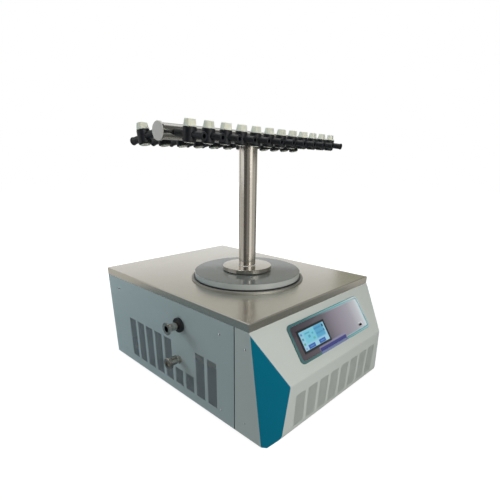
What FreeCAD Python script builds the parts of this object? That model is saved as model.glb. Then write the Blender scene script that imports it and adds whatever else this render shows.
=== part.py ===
import FreeCAD
import Part

import math
import os

# Benchtop freeze dryer: a refrigerated cold trap in a sheet-metal cabinet, with a lid disc,
# a riser and a horizontal manifold of rubber stopcock valves above it.
# Millimetres. +X to the right seen from the control panel, +Y to the back, +Z up.
# Origin: on the surface it stands on, straight below the axis of the cold trap.

# ---- cabinet ----
cabinet_width = 480.0
cabinet_height = 283.0
top_length = 607.0
trap_setback = 239.5
foot_height = 12.0
foot_radius = 19.0
foot_bevel = 2.0
foot_inset = 55.0
top_fold = 19.5
top_edge_round = 2.3
sheet = 1.5
seam_setback = 42.0
seam_gap = 1.2
fit_gap = 0.3
corner_radius = 7.0
panel_return = 14.0

# ---- front cover: side outline measured from the front edge of the steel top ----
cover_wall = 2.5
knee_reach = 78.0
knee_height = 152.0
lip_reach = 74.5
lip_height = 28.0
toe_reach = 52.0
knee_round = 10.0
lip_round = 25.0
facet_top_reach = 4.5
facet_low_reach = 42.0
knee_half_width = 196.0
cheek_thickness = 1.0
cheek_rim = 0.3

# ---- punched vent fields ----
vent_depth = 0.4
side_vent_count = 9
side_vent_pitch = 45.0
side_vent_width = 34.5
side_vent_first = 102.5
side_vent_bottom = 26.0
side_vent_top = 150.0
short_vent_top = 74.0
short_vents = (2, 3)
front_vent_count = 8
front_vent_pitch = 45.2
front_vent_width = 36.0
front_vent_shift = 3.2
front_vent_bottom = 37.5
front_vent_top = 120.0

# ---- control panel on the slope ----
panel_width = 298.0
panel_height = 92.0
panel_offset = 11.0
panel_drop = 64.5
panel_rim = 6.0
panel_rim_height = 3.6
panel_corner = 12.0
fascia_thickness = 2.4
display_width = 105.0
display_height = 54.0
display_inset = 21.8
display_drop = 65.0
bezel_rim = 3.2
bezel_height = 3.4
screen_thickness = 2.0
screen_sink = 0.5
screen_gap = 0.1
display_depth = 11.0
board_width = 120.0
board_height = 60.0
board_thickness = 1.6
chip_side = 28.0
chip_height = 4.0
connector_side = 24.0
connector_height = 10.0
connector_offset = 42.0
usb_width = 13.0
usb_height = 6.0
usb_depth = 14.0
usb_wall = 0.6
usb_back = 2.0
usb_lip = 1.2
usb_lip_height = 0.6
usb_tongue_gap = 0.6
usb_tongue_height = 1.8
usb_tongue_sink = 1.4
usb_inset = 38.0
usb_drop = 93.5

# ---- screws ----
screw_head_radius = 3.6
screw_head_height = 1.9
screw_shank_radius = 1.9
screw_shank_length = 6.0
screw_hole_gap = 0.2
cover_screw_setback = 10.0
cover_screw_low = 35.0
cover_screw_high = 222.0
panel_screw_low = 29.0
panel_screw_high = 230.0
panel_screw_front = 89.5
panel_screw_rear = 541.0
rear_screw_inset = 12.0

# ---- cold trap ----
trap_bore_radius = 120.0
trap_wall = 1.5
trap_lift = 93.0
collar_radius = 155.5
collar_height = 3.5
collar_bevel = 1.0
coil_tube_radius = 4.0
coil_turns = 7
coil_pitch = 18.0
coil_lift = 16.0
coil_gap = 0.1
coil_header_radius = 3.0
coil_header_shift = 0.5
coil_stub_reach = 6.0
insulation_radius = 165.0
insulation_floor = 30.0

# ---- lid and riser ----
lid_gasket_radius = 149.5
lid_gasket_height = 2.6
lid_gasket_setback = 4.0
lid_radius = 146.0
lid_thickness = 14.5
lid_bevel = 1.2
flange_gasket_radius = 58.0
flange_gasket_height = 3.0
flange_radius = 67.0
flange_thickness = 10.0
flange_bevel = 0.8
riser_radius = 23.2
riser_wall = 1.5
saddle_drop = 12.0
manifold_height = 634.8

# ---- manifold ----
manifold_radius = 15.2
manifold_wall = 1.6
manifold_left = 278.3
manifold_right = 321.0
manifold_swivel = 5.0
manifold_roll = 1.0
end_wall = 3.0
end_rim_margin = 2.4
end_rim_length = 5.5
end_rim_bevel = 0.6
port_count = 12
port_pitch = 50.8
front_port_first = -245.3
rear_port_first = -270.7
port_droop = 8.3
stub_radius = 4.75
stub_bore = 3.5
stub_length = 17.0

# ---- stopcock valve ----
valve_reach = 54.7
sleeve_gap = 3.0
sleeve_radius = 7.6
barrel_radius = 13.5
barrel_height = 27.0
barrel_round = 2.0
nozzle_reach = 95.0
nozzle_radius = 7.0
nozzle_rim_radius = 8.0
nozzle_rim_length = 3.5
nozzle_rim_round = 1.2
nozzle_bore = 4.0
nozzle_socket_depth = 26.0
rubber_fit = 0.05
plug_radius = 8.0
plug_fit = 0.05
plug_gap = 0.3
plug_foot_radius = 10.0
plug_foot_height = 1.2
plug_hole_radius = 3.2
knob_collar_height = 2.0
knob_radius = 13.0
knob_top_radius = 10.6
knob_height = 13.0
knob_flat = 7.8
knob_top_flat = 6.4
knob_round = 1.5
front_knob_turns = (0, 15, -10, 0, 5, 5, 5, 5, -20, 10, 10, 15)
rear_knob_turns = (5, 0, 0, 30, 0, 15, 0, 0, 40, 0, 10, 0)

# ---- side ports ----
vacuum_port_y = -0.5
vacuum_port_height = 206.5
port_tube_radius = 10.0
port_tube_bore = 8.0
port_reach = 39.0
port_flange_radius = 16.0
port_flange_thickness = 4.5
grommet_radius = 19.0
grommet_thickness = 8.0
grommet_bevel = 1.5
grommet_neck = 13.0
grommet_inner_radius = 17.0
grommet_inner_thickness = 2.0
drain_port_y = 9.5
drain_rise = 12.0
drain_tube_radius = 6.0
drain_tube_bore = 4.0
drain_nut_radius = 11.0
drain_nut_thickness = 5.0
valve_block_radius = 9.0
valve_block_length = 25.0
drain_outlet_radius = 16.0
drain_outlet_length = 8.0
drain_outlet_round = 1.5
drain_mouth_radius = 8.0
drain_mouth_depth = 6.0
lever_length = 17.0
lever_width = 5.0
lever_height = 6.0
lever_stem_radius = 3.0
lever_stem_depth = 4.0
lever_hub_radius = 5.5

# ---- refrigeration ----
compressor_x = 95.0
compressor_setback = 82.5
compressor_radius = 72.0
compressor_height = 165.0
compressor_leg = 10.0
compressor_seam_reach = 2.0
compressor_seam_height = 4.0
compressor_foot_span = 130.0
compressor_foot_thickness = 3.0
grommet_foot_radius = 9.0
condenser_inset = 11.0
condenser_depth = 40.0
condenser_length = 190.0
condenser_height = 140.0
condenser_setback = 227.5
condenser_lift = 12.0
condenser_leg_width = 20.0
fin_count = 24
fin_thickness = 1.2
fin_inset = 1.0
condenser_rows = 5
header_thickness = 4.0
line_radius = 4.0
line_bend = 12.0
capillary_radius = 2.0
drier_radius = 12.5
drier_length = 90.0
drier_x = -105.0
drier_setback = 67.5
low_line_height = 30.0
high_line_height = 130.0
fan_size = 120.0
fan_depth = 25.0
fan_wall = 3.0
fan_corner = 5.0
fan_hub_gap = 1.0
fan_height = 82.0
fan_hub_radius = 20.0
fan_hub_depth = 14.0
fan_strut_width = 5.0
fan_strut_depth = 4.0
fan_shaft_radius = 2.0
fan_shaft_fit = 0.05
fan_shaft_length = 9.0
blade_count = 7
blade_tip_gap = 2.5
blade_thickness = 1.6
blade_chord = 26.0
blade_pitch_angle = 32.0
blade_root_sink = 1.5
blade_shift = 2.0

# ---- mains ----
supply_width = 70.0
supply_length = 110.0
supply_height = 42.0
supply_round = 1.0
supply_x = 150.0
supply_y = -125.0
inlet_x = 165.0
inlet_height = 62.0
inlet_width = 50.0
inlet_tall = 30.0
inlet_body_width = 46.0
inlet_body_tall = 26.0
inlet_flange = 2.5
inlet_corner = 2.0
inlet_depth = 24.0
socket_width = 25.0
socket_tall = 17.0
socket_depth = 17.0
socket_shift = -8.0
rocker_width = 10.0
rocker_tall = 16.0
rocker_shift = 15.5
rocker_gap = 0.35
rocker_pivot_radius = 1.5
rocker_pivot_fit = 0.05
rocker_pivot_sink = 2.5
rocker_well_depth = 9.0
rocker_axle_reach = 1.5
rocker_axle_end_gap = 0.5
rocker_face_rise = 3.0
rocker_waist = 1.5
rocker_angle = 12.0
pin_width = 2.0
pin_tall = 4.0
pin_length = 12.0
pin_root = 1.0
pin_spread = 7.0
pin_drop = 2.0
earth_pin_rise = 2.5

# ---- places worked out from the sizes above ----
half_width = cabinet_width / 2
front = -trap_setback
rear = front + top_length
floor = foot_height
top = floor + cabinet_height
fold_z = top - top_fold
panel_top = fold_z - fit_gap
seam = front + seam_setback
knee = (front - knee_reach, floor + knee_height)
lip = (front - lip_reach, floor + lip_height)
toe = (front - toe_reach, floor)
brow = (front, fold_z)
collar_top = top + collar_height
gasket_top = collar_top + lid_gasket_height
lid_top = gasket_top + lid_thickness
flange_bottom = lid_top + flange_gasket_height
flange_top = flange_bottom + flange_thickness
axis_z = floor + manifold_height
display_offset = panel_offset - panel_width / 2 + display_inset + display_width / 2
usb_offset = panel_offset + panel_width / 2 - usb_inset
trap_bottom = floor + trap_lift
trap_depth = top - trap_bottom
pan_top = floor + sheet
vacuum_z = floor + vacuum_port_height
drain_z = trap_bottom + drain_rise
compressor_y = rear - compressor_setback
condenser_y = rear - condenser_setback
drier_y = rear - drier_setback

V = FreeCAD.Vector
ORIGIN = V(0, 0, 0)
X = V(1, 0, 0)
Y = V(0, 1, 0)
Z = V(0, 0, 1)


# ---- small helpers ----
def box(x0, x1, y0, y1, z0, z1):
    return Part.makeBox(x1 - x0, y1 - y0, z1 - z0, V(x0, y0, z0))


def rod(radius, start, length, direction=Z):
    return Part.makeCylinder(radius, length, start, direction)


def pipe_wall(outer, inner, start, length, direction=Z):
    return rod(outer, start, length, direction).cut(rod(inner, start, length, direction))


def prism(points, direction):
    """A closed polygon of vectors, pushed along a vector."""
    return Part.Face(Part.makePolygon(points + [points[0]])).extrude(direction)


def lathe(profile, centre=ORIGIN):
    """A solid turned about Z from (radius, height) points."""
    points = [V(r, 0, z) for r, z in profile]
    face = Part.Face(Part.makePolygon(points + [points[0]]))
    solid = face.revolve(ORIGIN, Z, 360)
    solid.translate(centre)
    return solid


def fused(shapes):
    body = shapes[0]
    for shape in shapes[1:]:
        body = body.fuse(shape)
    return body.removeSplitter()


def edges_along(shape, direction, keep):
    """Straight edges parallel to a direction whose middle passes a test."""
    found = []
    for edge in shape.Edges:
        if edge.Curve.TypeId != "Part::GeomLine":
            continue
        run = edge.Vertexes[1].Point - edge.Vertexes[0].Point
        if run.Length > 0 and abs(abs(run.normalize().dot(direction)) - 1) < 1e-6:
            if keep(edge.CenterOfMass):
                found.append(edge)
    return found


def rounded_plate(width, height, radius, thickness):
    """A plate centred on the origin in XY with rounded corners, rising from z = 0."""
    plate = box(-width / 2, width / 2, -height / 2, height / 2, 0, thickness)
    corners = edges_along(plate, Z, lambda middle: True)
    return plate.makeFillet(radius, corners)


def mirrored(shape):
    return shape.mirror(ORIGIN, X)


def line_route(points, bend):
    """Straight runs joined by tangent arcs, as one wire."""
    edges = []
    here = points[0]
    for i in range(1, len(points) - 1):
        corner = points[i]
        into = (corner - points[i - 1]).normalize()
        out = (points[i + 1] - corner).normalize()
        half_turn = into.getAngle(out) / 2
        trim = bend * math.tan(half_turn)
        start = corner - into * trim
        end = corner + out * trim
        bulge = (out - into).normalize()
        centre = corner + bulge * (bend / math.cos(half_turn))
        middle = centre - bulge * bend
        edges.append(Part.LineSegment(here, start).toShape())
        edges.append(Part.Arc(start, middle, end).toShape())
        here = end
    edges.append(Part.LineSegment(here, points[-1]).toShape())
    return Part.Wire(edges)


def copper_line(points, radius, bend=line_bend):
    route = line_route(points, bend)
    heading = points[1] - points[0]
    section = Part.Wire(Part.makeCircle(radius, points[0], heading))
    return route.makePipeShell([section], True, False)


# ---- front cover and cheeks ----
def offset_outline(points, inset):
    """The closed outline (y, z) moved inwards by the same distance on every side."""
    count = len(points)
    moved = []
    for i in range(count):
        before, here, after = points[i - 1], points[i], points[(i + 1) % count]
        a = V(here[0] - before[0], here[1] - before[1], 0).normalize()
        b = V(after[0] - here[0], after[1] - here[1], 0).normalize()
        inward_a = V(-a.y, a.x, 0)
        inward_b = V(-b.y, b.x, 0)
        mitre = (inward_a + inward_b) * (inset / (1 + inward_a.dot(inward_b)))
        moved.append((here[0] + mitre.x, here[1] + mitre.y))
    return moved


def facet_frame():
    """A point on the left facet plane, its outward normal and its two directions."""
    slope = (knee[1] - brow[1]) / (knee[0] - brow[0])
    facet_top = V(-half_width, front - facet_top_reach, brow[1] - facet_top_reach * slope)
    facet_toe = V(-half_width, front - facet_low_reach, floor)
    facet_knee = V(-knee_half_width, knee[0], knee[1])
    down = (facet_toe - facet_top).normalize()
    normal = down.cross(facet_knee - facet_top).normalize()
    if normal.x > 0:
        normal = normal * -1
    return facet_top, normal, down, normal.cross(down)


def facet_cutter(shift):
    """Everything outside the left facet plane after moving that plane inwards by shift."""
    point, normal, down, across = facet_frame()
    reach = 4 * knee_reach + cabinet_height
    start = point - normal * shift
    corners = [start + down * (u * reach) + across * (v * reach) for u, v in ((-1, -1), (1, -1), (1, 1), (-1, 1))]
    return prism(corners, normal * reach)


def front_block(inset, facet_shift, open_back=0.0):
    """The filled front of the cabinet; open_back lengthens it to the rear and the top."""
    outline = [(seam, floor), (seam, fold_z), brow, knee, lip, toe]
    if open_back:
        slope = (knee[0] - brow[0]) / (knee[1] - brow[1])
        outline[0] = (seam + open_back, floor)
        outline[1] = (seam + open_back, fold_z + open_back)
        outline[2] = (brow[0] + slope * open_back, fold_z + open_back)
    shape = offset_outline(outline, inset)
    half = half_width - inset
    solid = prism([V(-half, y, z) for y, z in shape], X * (2 * half))
    rounds = ((knee, knee_round), (lip, lip_round))
    for corner, radius in rounds:
        near = edges_along(solid, X, lambda m: math.hypot(m.y - corner[0], m.z - corner[1]) < 2 * inset + 1)
        solid = solid.makeFillet(radius - inset, near)
    cutter = facet_cutter(facet_shift)
    return solid.cut(cutter).cut(mirrored(cutter))


def front_face_y(z):
    """Depth of the lower front face at a height."""
    share = (z - lip[1]) / (knee[1] - lip[1])
    return lip[0] + share * (knee[0] - lip[0])


def front_vents():
    fields = []
    z0 = floor + front_vent_bottom
    z1 = floor + front_vent_top
    first = front_vent_shift - (front_vent_count - 1) / 2 * front_vent_pitch
    for i in range(front_vent_count):
        x0 = first + i * front_vent_pitch - front_vent_width / 2
        corners = [
            V(x0, front_face_y(z0) + vent_depth, z0),
            V(x0, front_face_y(z1) + vent_depth, z1),
            V(x0, front_face_y(z1) - knee_round, z1),
            V(x0, front_face_y(z0) - knee_round, z0),
        ]
        fields.append(prism(corners, X * front_vent_width))
    return fields


def slope_frame():
    """Placement whose XY plane is the slope, X to the right, Y up the slope, Z out of it."""
    up = V(0, brow[0] - knee[0], brow[1] - knee[1]).normalize()
    out = X.cross(up)
    turn = FreeCAD.Rotation(X, up, out, "ZXY")
    return FreeCAD.Placement(V(0, brow[0], brow[1]), turn)


def on_slope(shape, x, drop, lift=0.0):
    """Lay a shape made in the XY plane on the slope, drop below its upper edge."""
    placed = shape.copy()
    local = FreeCAD.Placement(V(x, -drop, lift), FreeCAD.Rotation())
    placed.Placement = slope_frame().multiply(local).multiply(placed.Placement)
    return placed


def display_window(gap):
    """The display's body through the slope, with a gap all round."""
    width = display_width - 2 * bezel_rim + 2 * gap
    height = display_height - 2 * bezel_rim + 2 * gap
    return box(-width / 2, width / 2, -height / 2, height / 2, -display_depth, bezel_height)


def usb_window(gap):
    """Room for the socket shell through the fascia and the slope."""
    width = usb_width + 2 * gap
    height = usb_height + 2 * gap
    return box(-width / 2, width / 2, -height / 2, height / 2, -usb_depth, fascia_thickness)


def front_cover():
    cover = front_block(0, cheek_thickness).cut(front_block(cover_wall, cheek_thickness + cover_wall, 40))
    for field in front_vents():
        cover = cover.cut(field)
    cover = cover.cut(on_slope(display_window(fit_gap), display_offset, display_drop))
    cover = cover.cut(on_slope(usb_window(fit_gap), usb_offset, usb_drop))
    for hole in cover_screw_holes():
        cover = cover.cut(hole)
    return cover


def cheek(side):
    """Thin coloured plate that covers a whole facet."""
    plates = front_block(cheek_rim, 0).cut(front_block(cheek_rim, cheek_thickness)).Solids
    return [plate for plate in plates if plate.CenterOfMass.x * side > 0][0]


# ---- cabinet panels ----
def side_panel_sheet():
    """Left side panel: flat sheet bent round the rear corner with a short return."""
    x0 = -half_width
    y0 = seam + seam_gap
    outer_arc = corner_radius * math.sin(math.pi / 4)
    inner = corner_radius - sheet
    inner_arc = inner * math.sin(math.pi / 4)
    cx = x0 + corner_radius
    cy = rear - corner_radius
    edges = [
        Part.LineSegment(V(x0, y0, 0), V(x0, cy, 0)).toShape(),
        Part.Arc(V(x0, cy, 0), V(cx - outer_arc, cy + outer_arc, 0), V(cx, rear, 0)).toShape(),
        Part.LineSegment(V(cx, rear, 0), V(x0 + panel_return, rear, 0)).toShape(),
        Part.LineSegment(V(x0 + panel_return, rear, 0), V(x0 + panel_return, rear - sheet, 0)).toShape(),
        Part.LineSegment(V(x0 + panel_return, rear - sheet, 0), V(cx, rear - sheet, 0)).toShape(),
        Part.Arc(V(cx, rear - sheet, 0), V(cx - inner_arc, cy + inner_arc, 0), V(x0 + sheet, cy, 0)).toShape(),
        Part.LineSegment(V(x0 + sheet, cy, 0), V(x0 + sheet, y0, 0)).toShape(),
        Part.LineSegment(V(x0 + sheet, y0, 0), V(x0, y0, 0)).toShape(),
    ]
    face = Part.Face(Part.Wire(edges))
    face.translate(V(0, 0, floor))
    return face.extrude(Z * (panel_top - floor))


def side_vents(short):
    fields = []
    for i in range(side_vent_count):
        y0 = front + side_vent_first + i * side_vent_pitch
        z1 = floor + (short_vent_top if i in short else side_vent_top)
        x0 = -half_width
        fields.append(box(x0 - 1, x0 + vent_depth, y0, y0 + side_vent_width, floor + side_vent_bottom, z1))
    return fields


def left_side_panel():
    panel = side_panel_sheet()
    for field in side_vents(short_vents):
        panel = panel.cut(field)
    hole_start = V(-half_width - 1, vacuum_port_y, vacuum_z)
    panel = panel.cut(rod(grommet_neck + fit_gap, hole_start, sheet + 2, X))
    hole_start = V(-half_width - 1, drain_port_y, drain_z)
    panel = panel.cut(rod(drain_tube_radius + fit_gap, hole_start, sheet + 2, X))
    for hole in panel_screw_holes(-1):
        panel = panel.cut(hole)
    return panel


def right_side_panel():
    panel = mirrored(side_panel_sheet())
    for field in side_vents(()):
        panel = panel.cut(mirrored(field))
    for hole in panel_screw_holes(1):
        panel = panel.cut(hole)
    return panel


def rear_half():
    return half_width - panel_return - fit_gap


def rear_panel():
    half = rear_half()
    panel = box(-half, half, rear - sheet, rear, floor, panel_top)
    panel = panel.cut(inlet_body(fit_gap))
    for x, z in rear_screw_places():
        panel = panel.cut(rod(screw_shank_radius + screw_hole_gap, V(x, rear - 2 * sheet, z), 4 * sheet, Y))
    return panel


def rounded_top(inset, height, corner, edge_round, z):
    """A block with the top cover's outline: square in front, rounded at the rear."""
    half = half_width - inset
    block = box(-half, half, front + inset, rear - inset, z, z + height)
    rear_corners = edges_along(block, Z, lambda m: m.y > 0)
    block = block.makeFillet(corner - inset, rear_corners)
    upper = [e for e in block.Edges if abs(e.BoundBox.ZMin - e.BoundBox.ZMax) < 1e-6 and e.BoundBox.ZMin > z + height / 2]
    return block.makeFillet(edge_round, upper)


def steel_top():
    cover = rounded_top(0, top_fold, corner_radius, top_edge_round, fold_z)
    pocket = rounded_top(sheet, top_fold, corner_radius, top_edge_round - sheet, fold_z - sheet)
    cover = cover.cut(pocket)
    return cover.cut(rod(trap_bore_radius + trap_wall + fit_gap, V(0, 0, fold_z), 2 * top_fold))


def pan_half():
    return half_width - sheet - fit_gap


def base_pan():
    half = pan_half()
    y0 = seam + fit_gap
    y1 = rear - sheet - fit_gap
    flange = 2 * foot_height
    pan = box(-half, half, y0, y1, floor, floor + flange)
    radius = corner_radius - sheet
    pan = pan.makeFillet(radius, edges_along(pan, Z, lambda m: m.y > 0))
    hollow = box(-half + sheet, half - sheet, y0 + sheet, y1 - sheet, pan_top, floor + 2 * flange)
    hollow = hollow.makeFillet(radius - sheet, edges_along(hollow, Z, lambda m: m.y > 0))
    return pan.cut(hollow)


def foot_places():
    x = half_width - foot_inset
    return [(sx * x, y) for y in (seam + foot_inset, rear - foot_inset) for sx in (-1, 1)]


def rubber_feet():
    profile = [
        (0, 0), (foot_radius - foot_bevel, 0), (foot_radius, foot_bevel), (foot_radius, foot_height), (0, foot_height),
    ]
    return [lathe(profile, V(x, y, 0)) for x, y in foot_places()]


# ---- screws ----
def screw_places():
    """(head seat, inward direction) of every visible panel screw."""
    places = []
    for side in (-1, 1):
        x = side * half_width
        inward = X * -side
        for z in (cover_screw_low, cover_screw_high):
            places.append((V(x, front + cover_screw_setback, floor + z), inward))
        for y in (panel_screw_front, panel_screw_rear):
            for z in (panel_screw_low, panel_screw_high):
                places.append((V(x, front + y, floor + z), inward))
    for x, z in rear_screw_places():
        places.append((V(x, rear, z), Y * -1))
    return places


def rear_screw_places():
    x = rear_half() - rear_screw_inset
    return [(sx * x, floor + z) for z in (panel_screw_low, panel_screw_high) for sx in (-1, 0, 1)]


def screw(seat, inward):
    """Pan head on the sheet and a plain shank through it."""
    radius = screw_head_radius
    height = screw_head_height
    dome_radius = (radius * radius + height * height) / (2 * height)
    dome = Part.makeSphere(dome_radius, seat + inward * (dome_radius - height), inward)
    cap = rod(radius, seat, height, inward * -1)
    shank = rod(screw_shank_radius, seat, screw_shank_length, inward)
    return cap.common(dome).fuse(shank).removeSplitter()


def panel_screws():
    return [screw(seat, inward) for seat, inward in screw_places()]


def panel_screw_holes(side):
    reach = 3 * cover_wall
    radius = screw_shank_radius + screw_hole_gap
    places = [(seat, inward) for seat, inward in screw_places() if inward.x * side < 0 and seat.y > seam]
    return [rod(radius, seat - inward, reach, inward) for seat, inward in places]


def cover_screw_holes():
    reach = 3 * cover_wall
    radius = screw_shank_radius + screw_hole_gap
    places = [(seat, inward) for seat, inward in screw_places() if seat.y < seam]
    return [rod(radius, seat - inward, reach, inward) for seat, inward in places]


# ---- control panel ----
def panel_frame():
    outer = rounded_plate(panel_width, panel_height, panel_corner, panel_rim_height)
    upper = [e for e in outer.Edges if e.BoundBox.ZMin > panel_rim_height / 2]
    outer = outer.makeFillet(panel_rim_height / 3, upper)
    width = panel_width - 2 * panel_rim
    height = panel_height - 2 * panel_rim
    inner = rounded_plate(width, height, panel_corner - panel_rim / 2, 2 * panel_rim_height)
    return on_slope(outer.cut(inner), panel_offset, panel_drop)


def panel_fascia():
    width = panel_width - 2 * panel_rim - 2 * fit_gap
    height = panel_height - 2 * panel_rim - 2 * fit_gap
    plate = rounded_plate(width, height, panel_corner - panel_rim / 2, fascia_thickness)
    plate = on_slope(plate, panel_offset, panel_drop)
    plate = plate.cut(on_slope(display_window(fit_gap), display_offset, display_drop))
    return plate.cut(on_slope(usb_window(fit_gap), usb_offset, usb_drop))


def display_bezel():
    """Black display housing: a rim on the fascia and a box body through the slope."""
    rim = box(-display_width / 2, display_width / 2, -display_height / 2, display_height / 2,
              fascia_thickness, bezel_height)
    body = rim.fuse(display_window(0)).removeSplitter()
    width = display_width - 3 * bezel_rim
    height = display_height - 3 * bezel_rim
    recess = box(-width / 2, width / 2, -height / 2, height / 2, screen_seat(), 2 * bezel_height)
    return on_slope(body.cut(recess), display_offset, display_drop)


def screen_seat():
    """Height of the recess floor that carries the glass."""
    return bezel_height - screen_thickness - screen_sink


def touch_screen():
    width = display_width - 3 * bezel_rim - 2 * screen_gap
    height = display_height - 3 * bezel_rim - 2 * screen_gap
    seat = screen_seat()
    glass = box(-width / 2, width / 2, -height / 2, height / 2, seat, seat + screen_thickness)
    return on_slope(glass, display_offset, display_drop)


def control_board():
    """Circuit board against the back of the display, with a chip and a connector under it."""
    under = -display_depth - board_thickness
    board = box(-board_width / 2, board_width / 2, -board_height / 2, board_height / 2, under, -display_depth)
    half = chip_side / 2
    chip = box(-half, half, -half, half, under - chip_height, under)
    half = connector_side / 2
    plug = box(connector_offset - half, connector_offset + half, -half, half, under - connector_height, under)
    return on_slope(fused([board, chip, plug]), display_offset, display_drop)


def usb_port():
    """Socket shell with a lip on the fascia and a contact tongue inside."""
    half_w = usb_width / 2
    half_h = usb_height / 2
    face = fascia_thickness + usb_lip_height
    back = usb_back - usb_depth
    shell = box(-half_w, half_w, -half_h, half_h, -usb_depth, face)
    lip_plate = box(-half_w - usb_lip, half_w + usb_lip, -half_h - usb_lip, half_h + usb_lip, fascia_thickness, face)
    slot = box(usb_wall - half_w, half_w - usb_wall, usb_wall - half_h, half_h - usb_wall, back, 2 * face)
    side = half_w - usb_wall - usb_tongue_gap
    tongue = box(-side, side, 0, usb_tongue_height, -usb_depth, face - usb_tongue_sink)
    return on_slope(fused([shell.fuse(lip_plate).cut(slot), tongue]), usb_offset, usb_drop)


# ---- cold trap ----
def cold_trap():
    """Steel bucket hung by its collar, with the drain tube welded in near the bottom."""
    r0 = trap_bore_radius
    r1 = r0 + trap_wall
    profile = [
        (0, trap_bottom), (r1, trap_bottom), (r1, top), (collar_radius, top),
        (collar_radius, collar_top - collar_bevel), (collar_radius - collar_bevel, collar_top),
        (r0, collar_top), (r0, trap_bottom + trap_wall), (0, trap_bottom + trap_wall),
    ]
    trap = lathe(profile)
    trap = trap.cut(rod(port_tube_bore, V(-2 * r0, vacuum_port_y, vacuum_z), 2 * r0, X))
    end_x = drain_block_x()
    reach = trap_wall_point(drain_port_y, drain_z).x + 2 * trap_wall - end_x
    drain = rod(drain_tube_radius, V(end_x, drain_port_y, drain_z), reach, X)
    inside = rod(r0, V(0, 0, trap_bottom + trap_wall), trap_depth)
    trap = trap.fuse(drain.cut(inside)).removeSplitter()
    return trap.cut(rod(drain_tube_bore, V(end_x, drain_port_y, drain_z), -end_x, X))


def coil_radius():
    return trap_bore_radius + trap_wall + coil_tube_radius + coil_gap


def coil_heights():
    return [trap_bottom + coil_lift + i * coil_pitch for i in range(coil_turns)]


def trap_wall_point(y, z):
    """Where a tube along X at this y meets the outside of the trap."""
    radius = trap_bore_radius + trap_wall + fit_gap
    return V(-math.sqrt(radius * radius - y * y), y, z)


def evaporator_coil():
    """Copper turns round the trap, joined by a header at the back, with two stubs to the rear."""
    heights = coil_heights()
    turns = [Part.makeTorus(coil_radius(), coil_tube_radius, V(0, 0, z)) for z in heights]
    header_y = coil_radius() + coil_header_shift
    header = rod(coil_header_radius, V(0, header_y, heights[0]), heights[-1] - heights[0])
    low = rod(coil_header_radius, V(0, header_y, heights[0]), coil_stub_end() - header_y, Y)
    back = math.sqrt(coil_radius() ** 2 - compressor_x ** 2)
    high = rod(coil_header_radius, V(compressor_x, back, heights[1]), suction_start() - back, Y)
    return fused(turns + [header, low, high]).cut(trap_port_clearance())


def coil_stub_end():
    return insulation_radius + coil_stub_reach


def suction_start():
    """Where the suction stub leaves the insulation, in line with the compressor."""
    return math.sqrt(insulation_radius ** 2 - compressor_x ** 2) + coil_stub_reach


def trap_port_clearance():
    """Room for the two tubes that enter the left of the trap."""
    reach = 2 * insulation_radius
    vacuum = rod(port_tube_radius + fit_gap, V(-reach, vacuum_port_y, vacuum_z), reach, X)
    drain = rod(drain_tube_radius + fit_gap, V(-reach, drain_port_y, drain_z), reach, X)
    return vacuum.fuse(drain)


def trap_insulation():
    bottom = trap_bottom - insulation_floor
    foam = rod(insulation_radius, V(0, 0, bottom), top - sheet - fit_gap - bottom)
    hollow = rod(coil_radius() + coil_tube_radius + fit_gap, V(0, 0, trap_bottom), trap_depth)
    foam = foam.cut(hollow).cut(trap_port_clearance())
    for x, z in ((0, coil_heights()[0]), (compressor_x, coil_heights()[1])):
        foam = foam.cut(rod(coil_header_radius + fit_gap, V(x, 0, z), 2 * insulation_radius, Y))
    return foam


# ---- lid and riser ----
def lid_gasket():
    inner = trap_bore_radius + lid_gasket_setback
    return pipe_wall(lid_gasket_radius, inner, V(0, 0, collar_top), lid_gasket_height)


def lid_disc():
    profile = [
        (port_bore(), gasket_top), (lid_radius, gasket_top), (lid_radius, lid_top - lid_bevel),
        (lid_radius - lid_bevel, lid_top), (port_bore(), lid_top),
    ]
    return lathe(profile)


def port_bore():
    return riser_radius - riser_wall


def flange_gasket():
    return pipe_wall(flange_gasket_radius, riser_radius, V(0, 0, lid_top), flange_gasket_height)


def manifold_frame():
    turn = FreeCAD.Rotation(Z, manifold_swivel)
    return FreeCAD.Placement(V(0, 0, axis_z), turn)


def placed(shape, placement):
    moved = shape.copy()
    moved.Placement = placement.multiply(moved.Placement)
    return moved


def riser():
    """Flange and tube in one, with a saddle at the top that the manifold tube lies in."""
    bore = port_bore()
    profile = [
        (bore, flange_bottom), (flange_radius, flange_bottom), (flange_radius, flange_top - flange_bevel),
        (flange_radius - flange_bevel, flange_top), (riser_radius, flange_top), (riser_radius, axis_z - saddle_drop),
        (0, axis_z - saddle_drop), (0, axis_z - manifold_radius - riser_wall),
        (bore, axis_z - manifold_radius - riser_wall),
    ]
    tube = lathe(profile)
    saddle = rod(manifold_radius, V(-2 * riser_radius, 0, 0), 4 * riser_radius, X)
    tube = tube.cut(placed(saddle, manifold_frame()))
    return tube.cut(gas_way())


def gas_way():
    """The hole that joins the riser's bore with the manifold's bore."""
    radius = manifold_radius / 2
    return rod(radius, V(0, 0, axis_z - 2 * manifold_radius), 2 * manifold_radius - manifold_wall)


# ---- manifold ----
def port_places():
    """(distance along the manifold, side) of every port; side 1 is the front row."""
    front_row = [(front_port_first + i * port_pitch, 1) for i in range(port_count)]
    rear_row = [(rear_port_first + i * port_pitch, -1) for i in range(port_count)]
    return front_row + rear_row


def port_frame(along, side):
    """Placement of a port: origin on the manifold axis, -Y out of the port."""
    droop = FreeCAD.Rotation(X, port_droop - side * manifold_roll)
    facing = FreeCAD.Rotation(Z, 0 if side > 0 else 180)
    local = FreeCAD.Placement(V(along, 0, 0), facing.multiply(droop))
    return manifold_frame().multiply(local)


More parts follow.
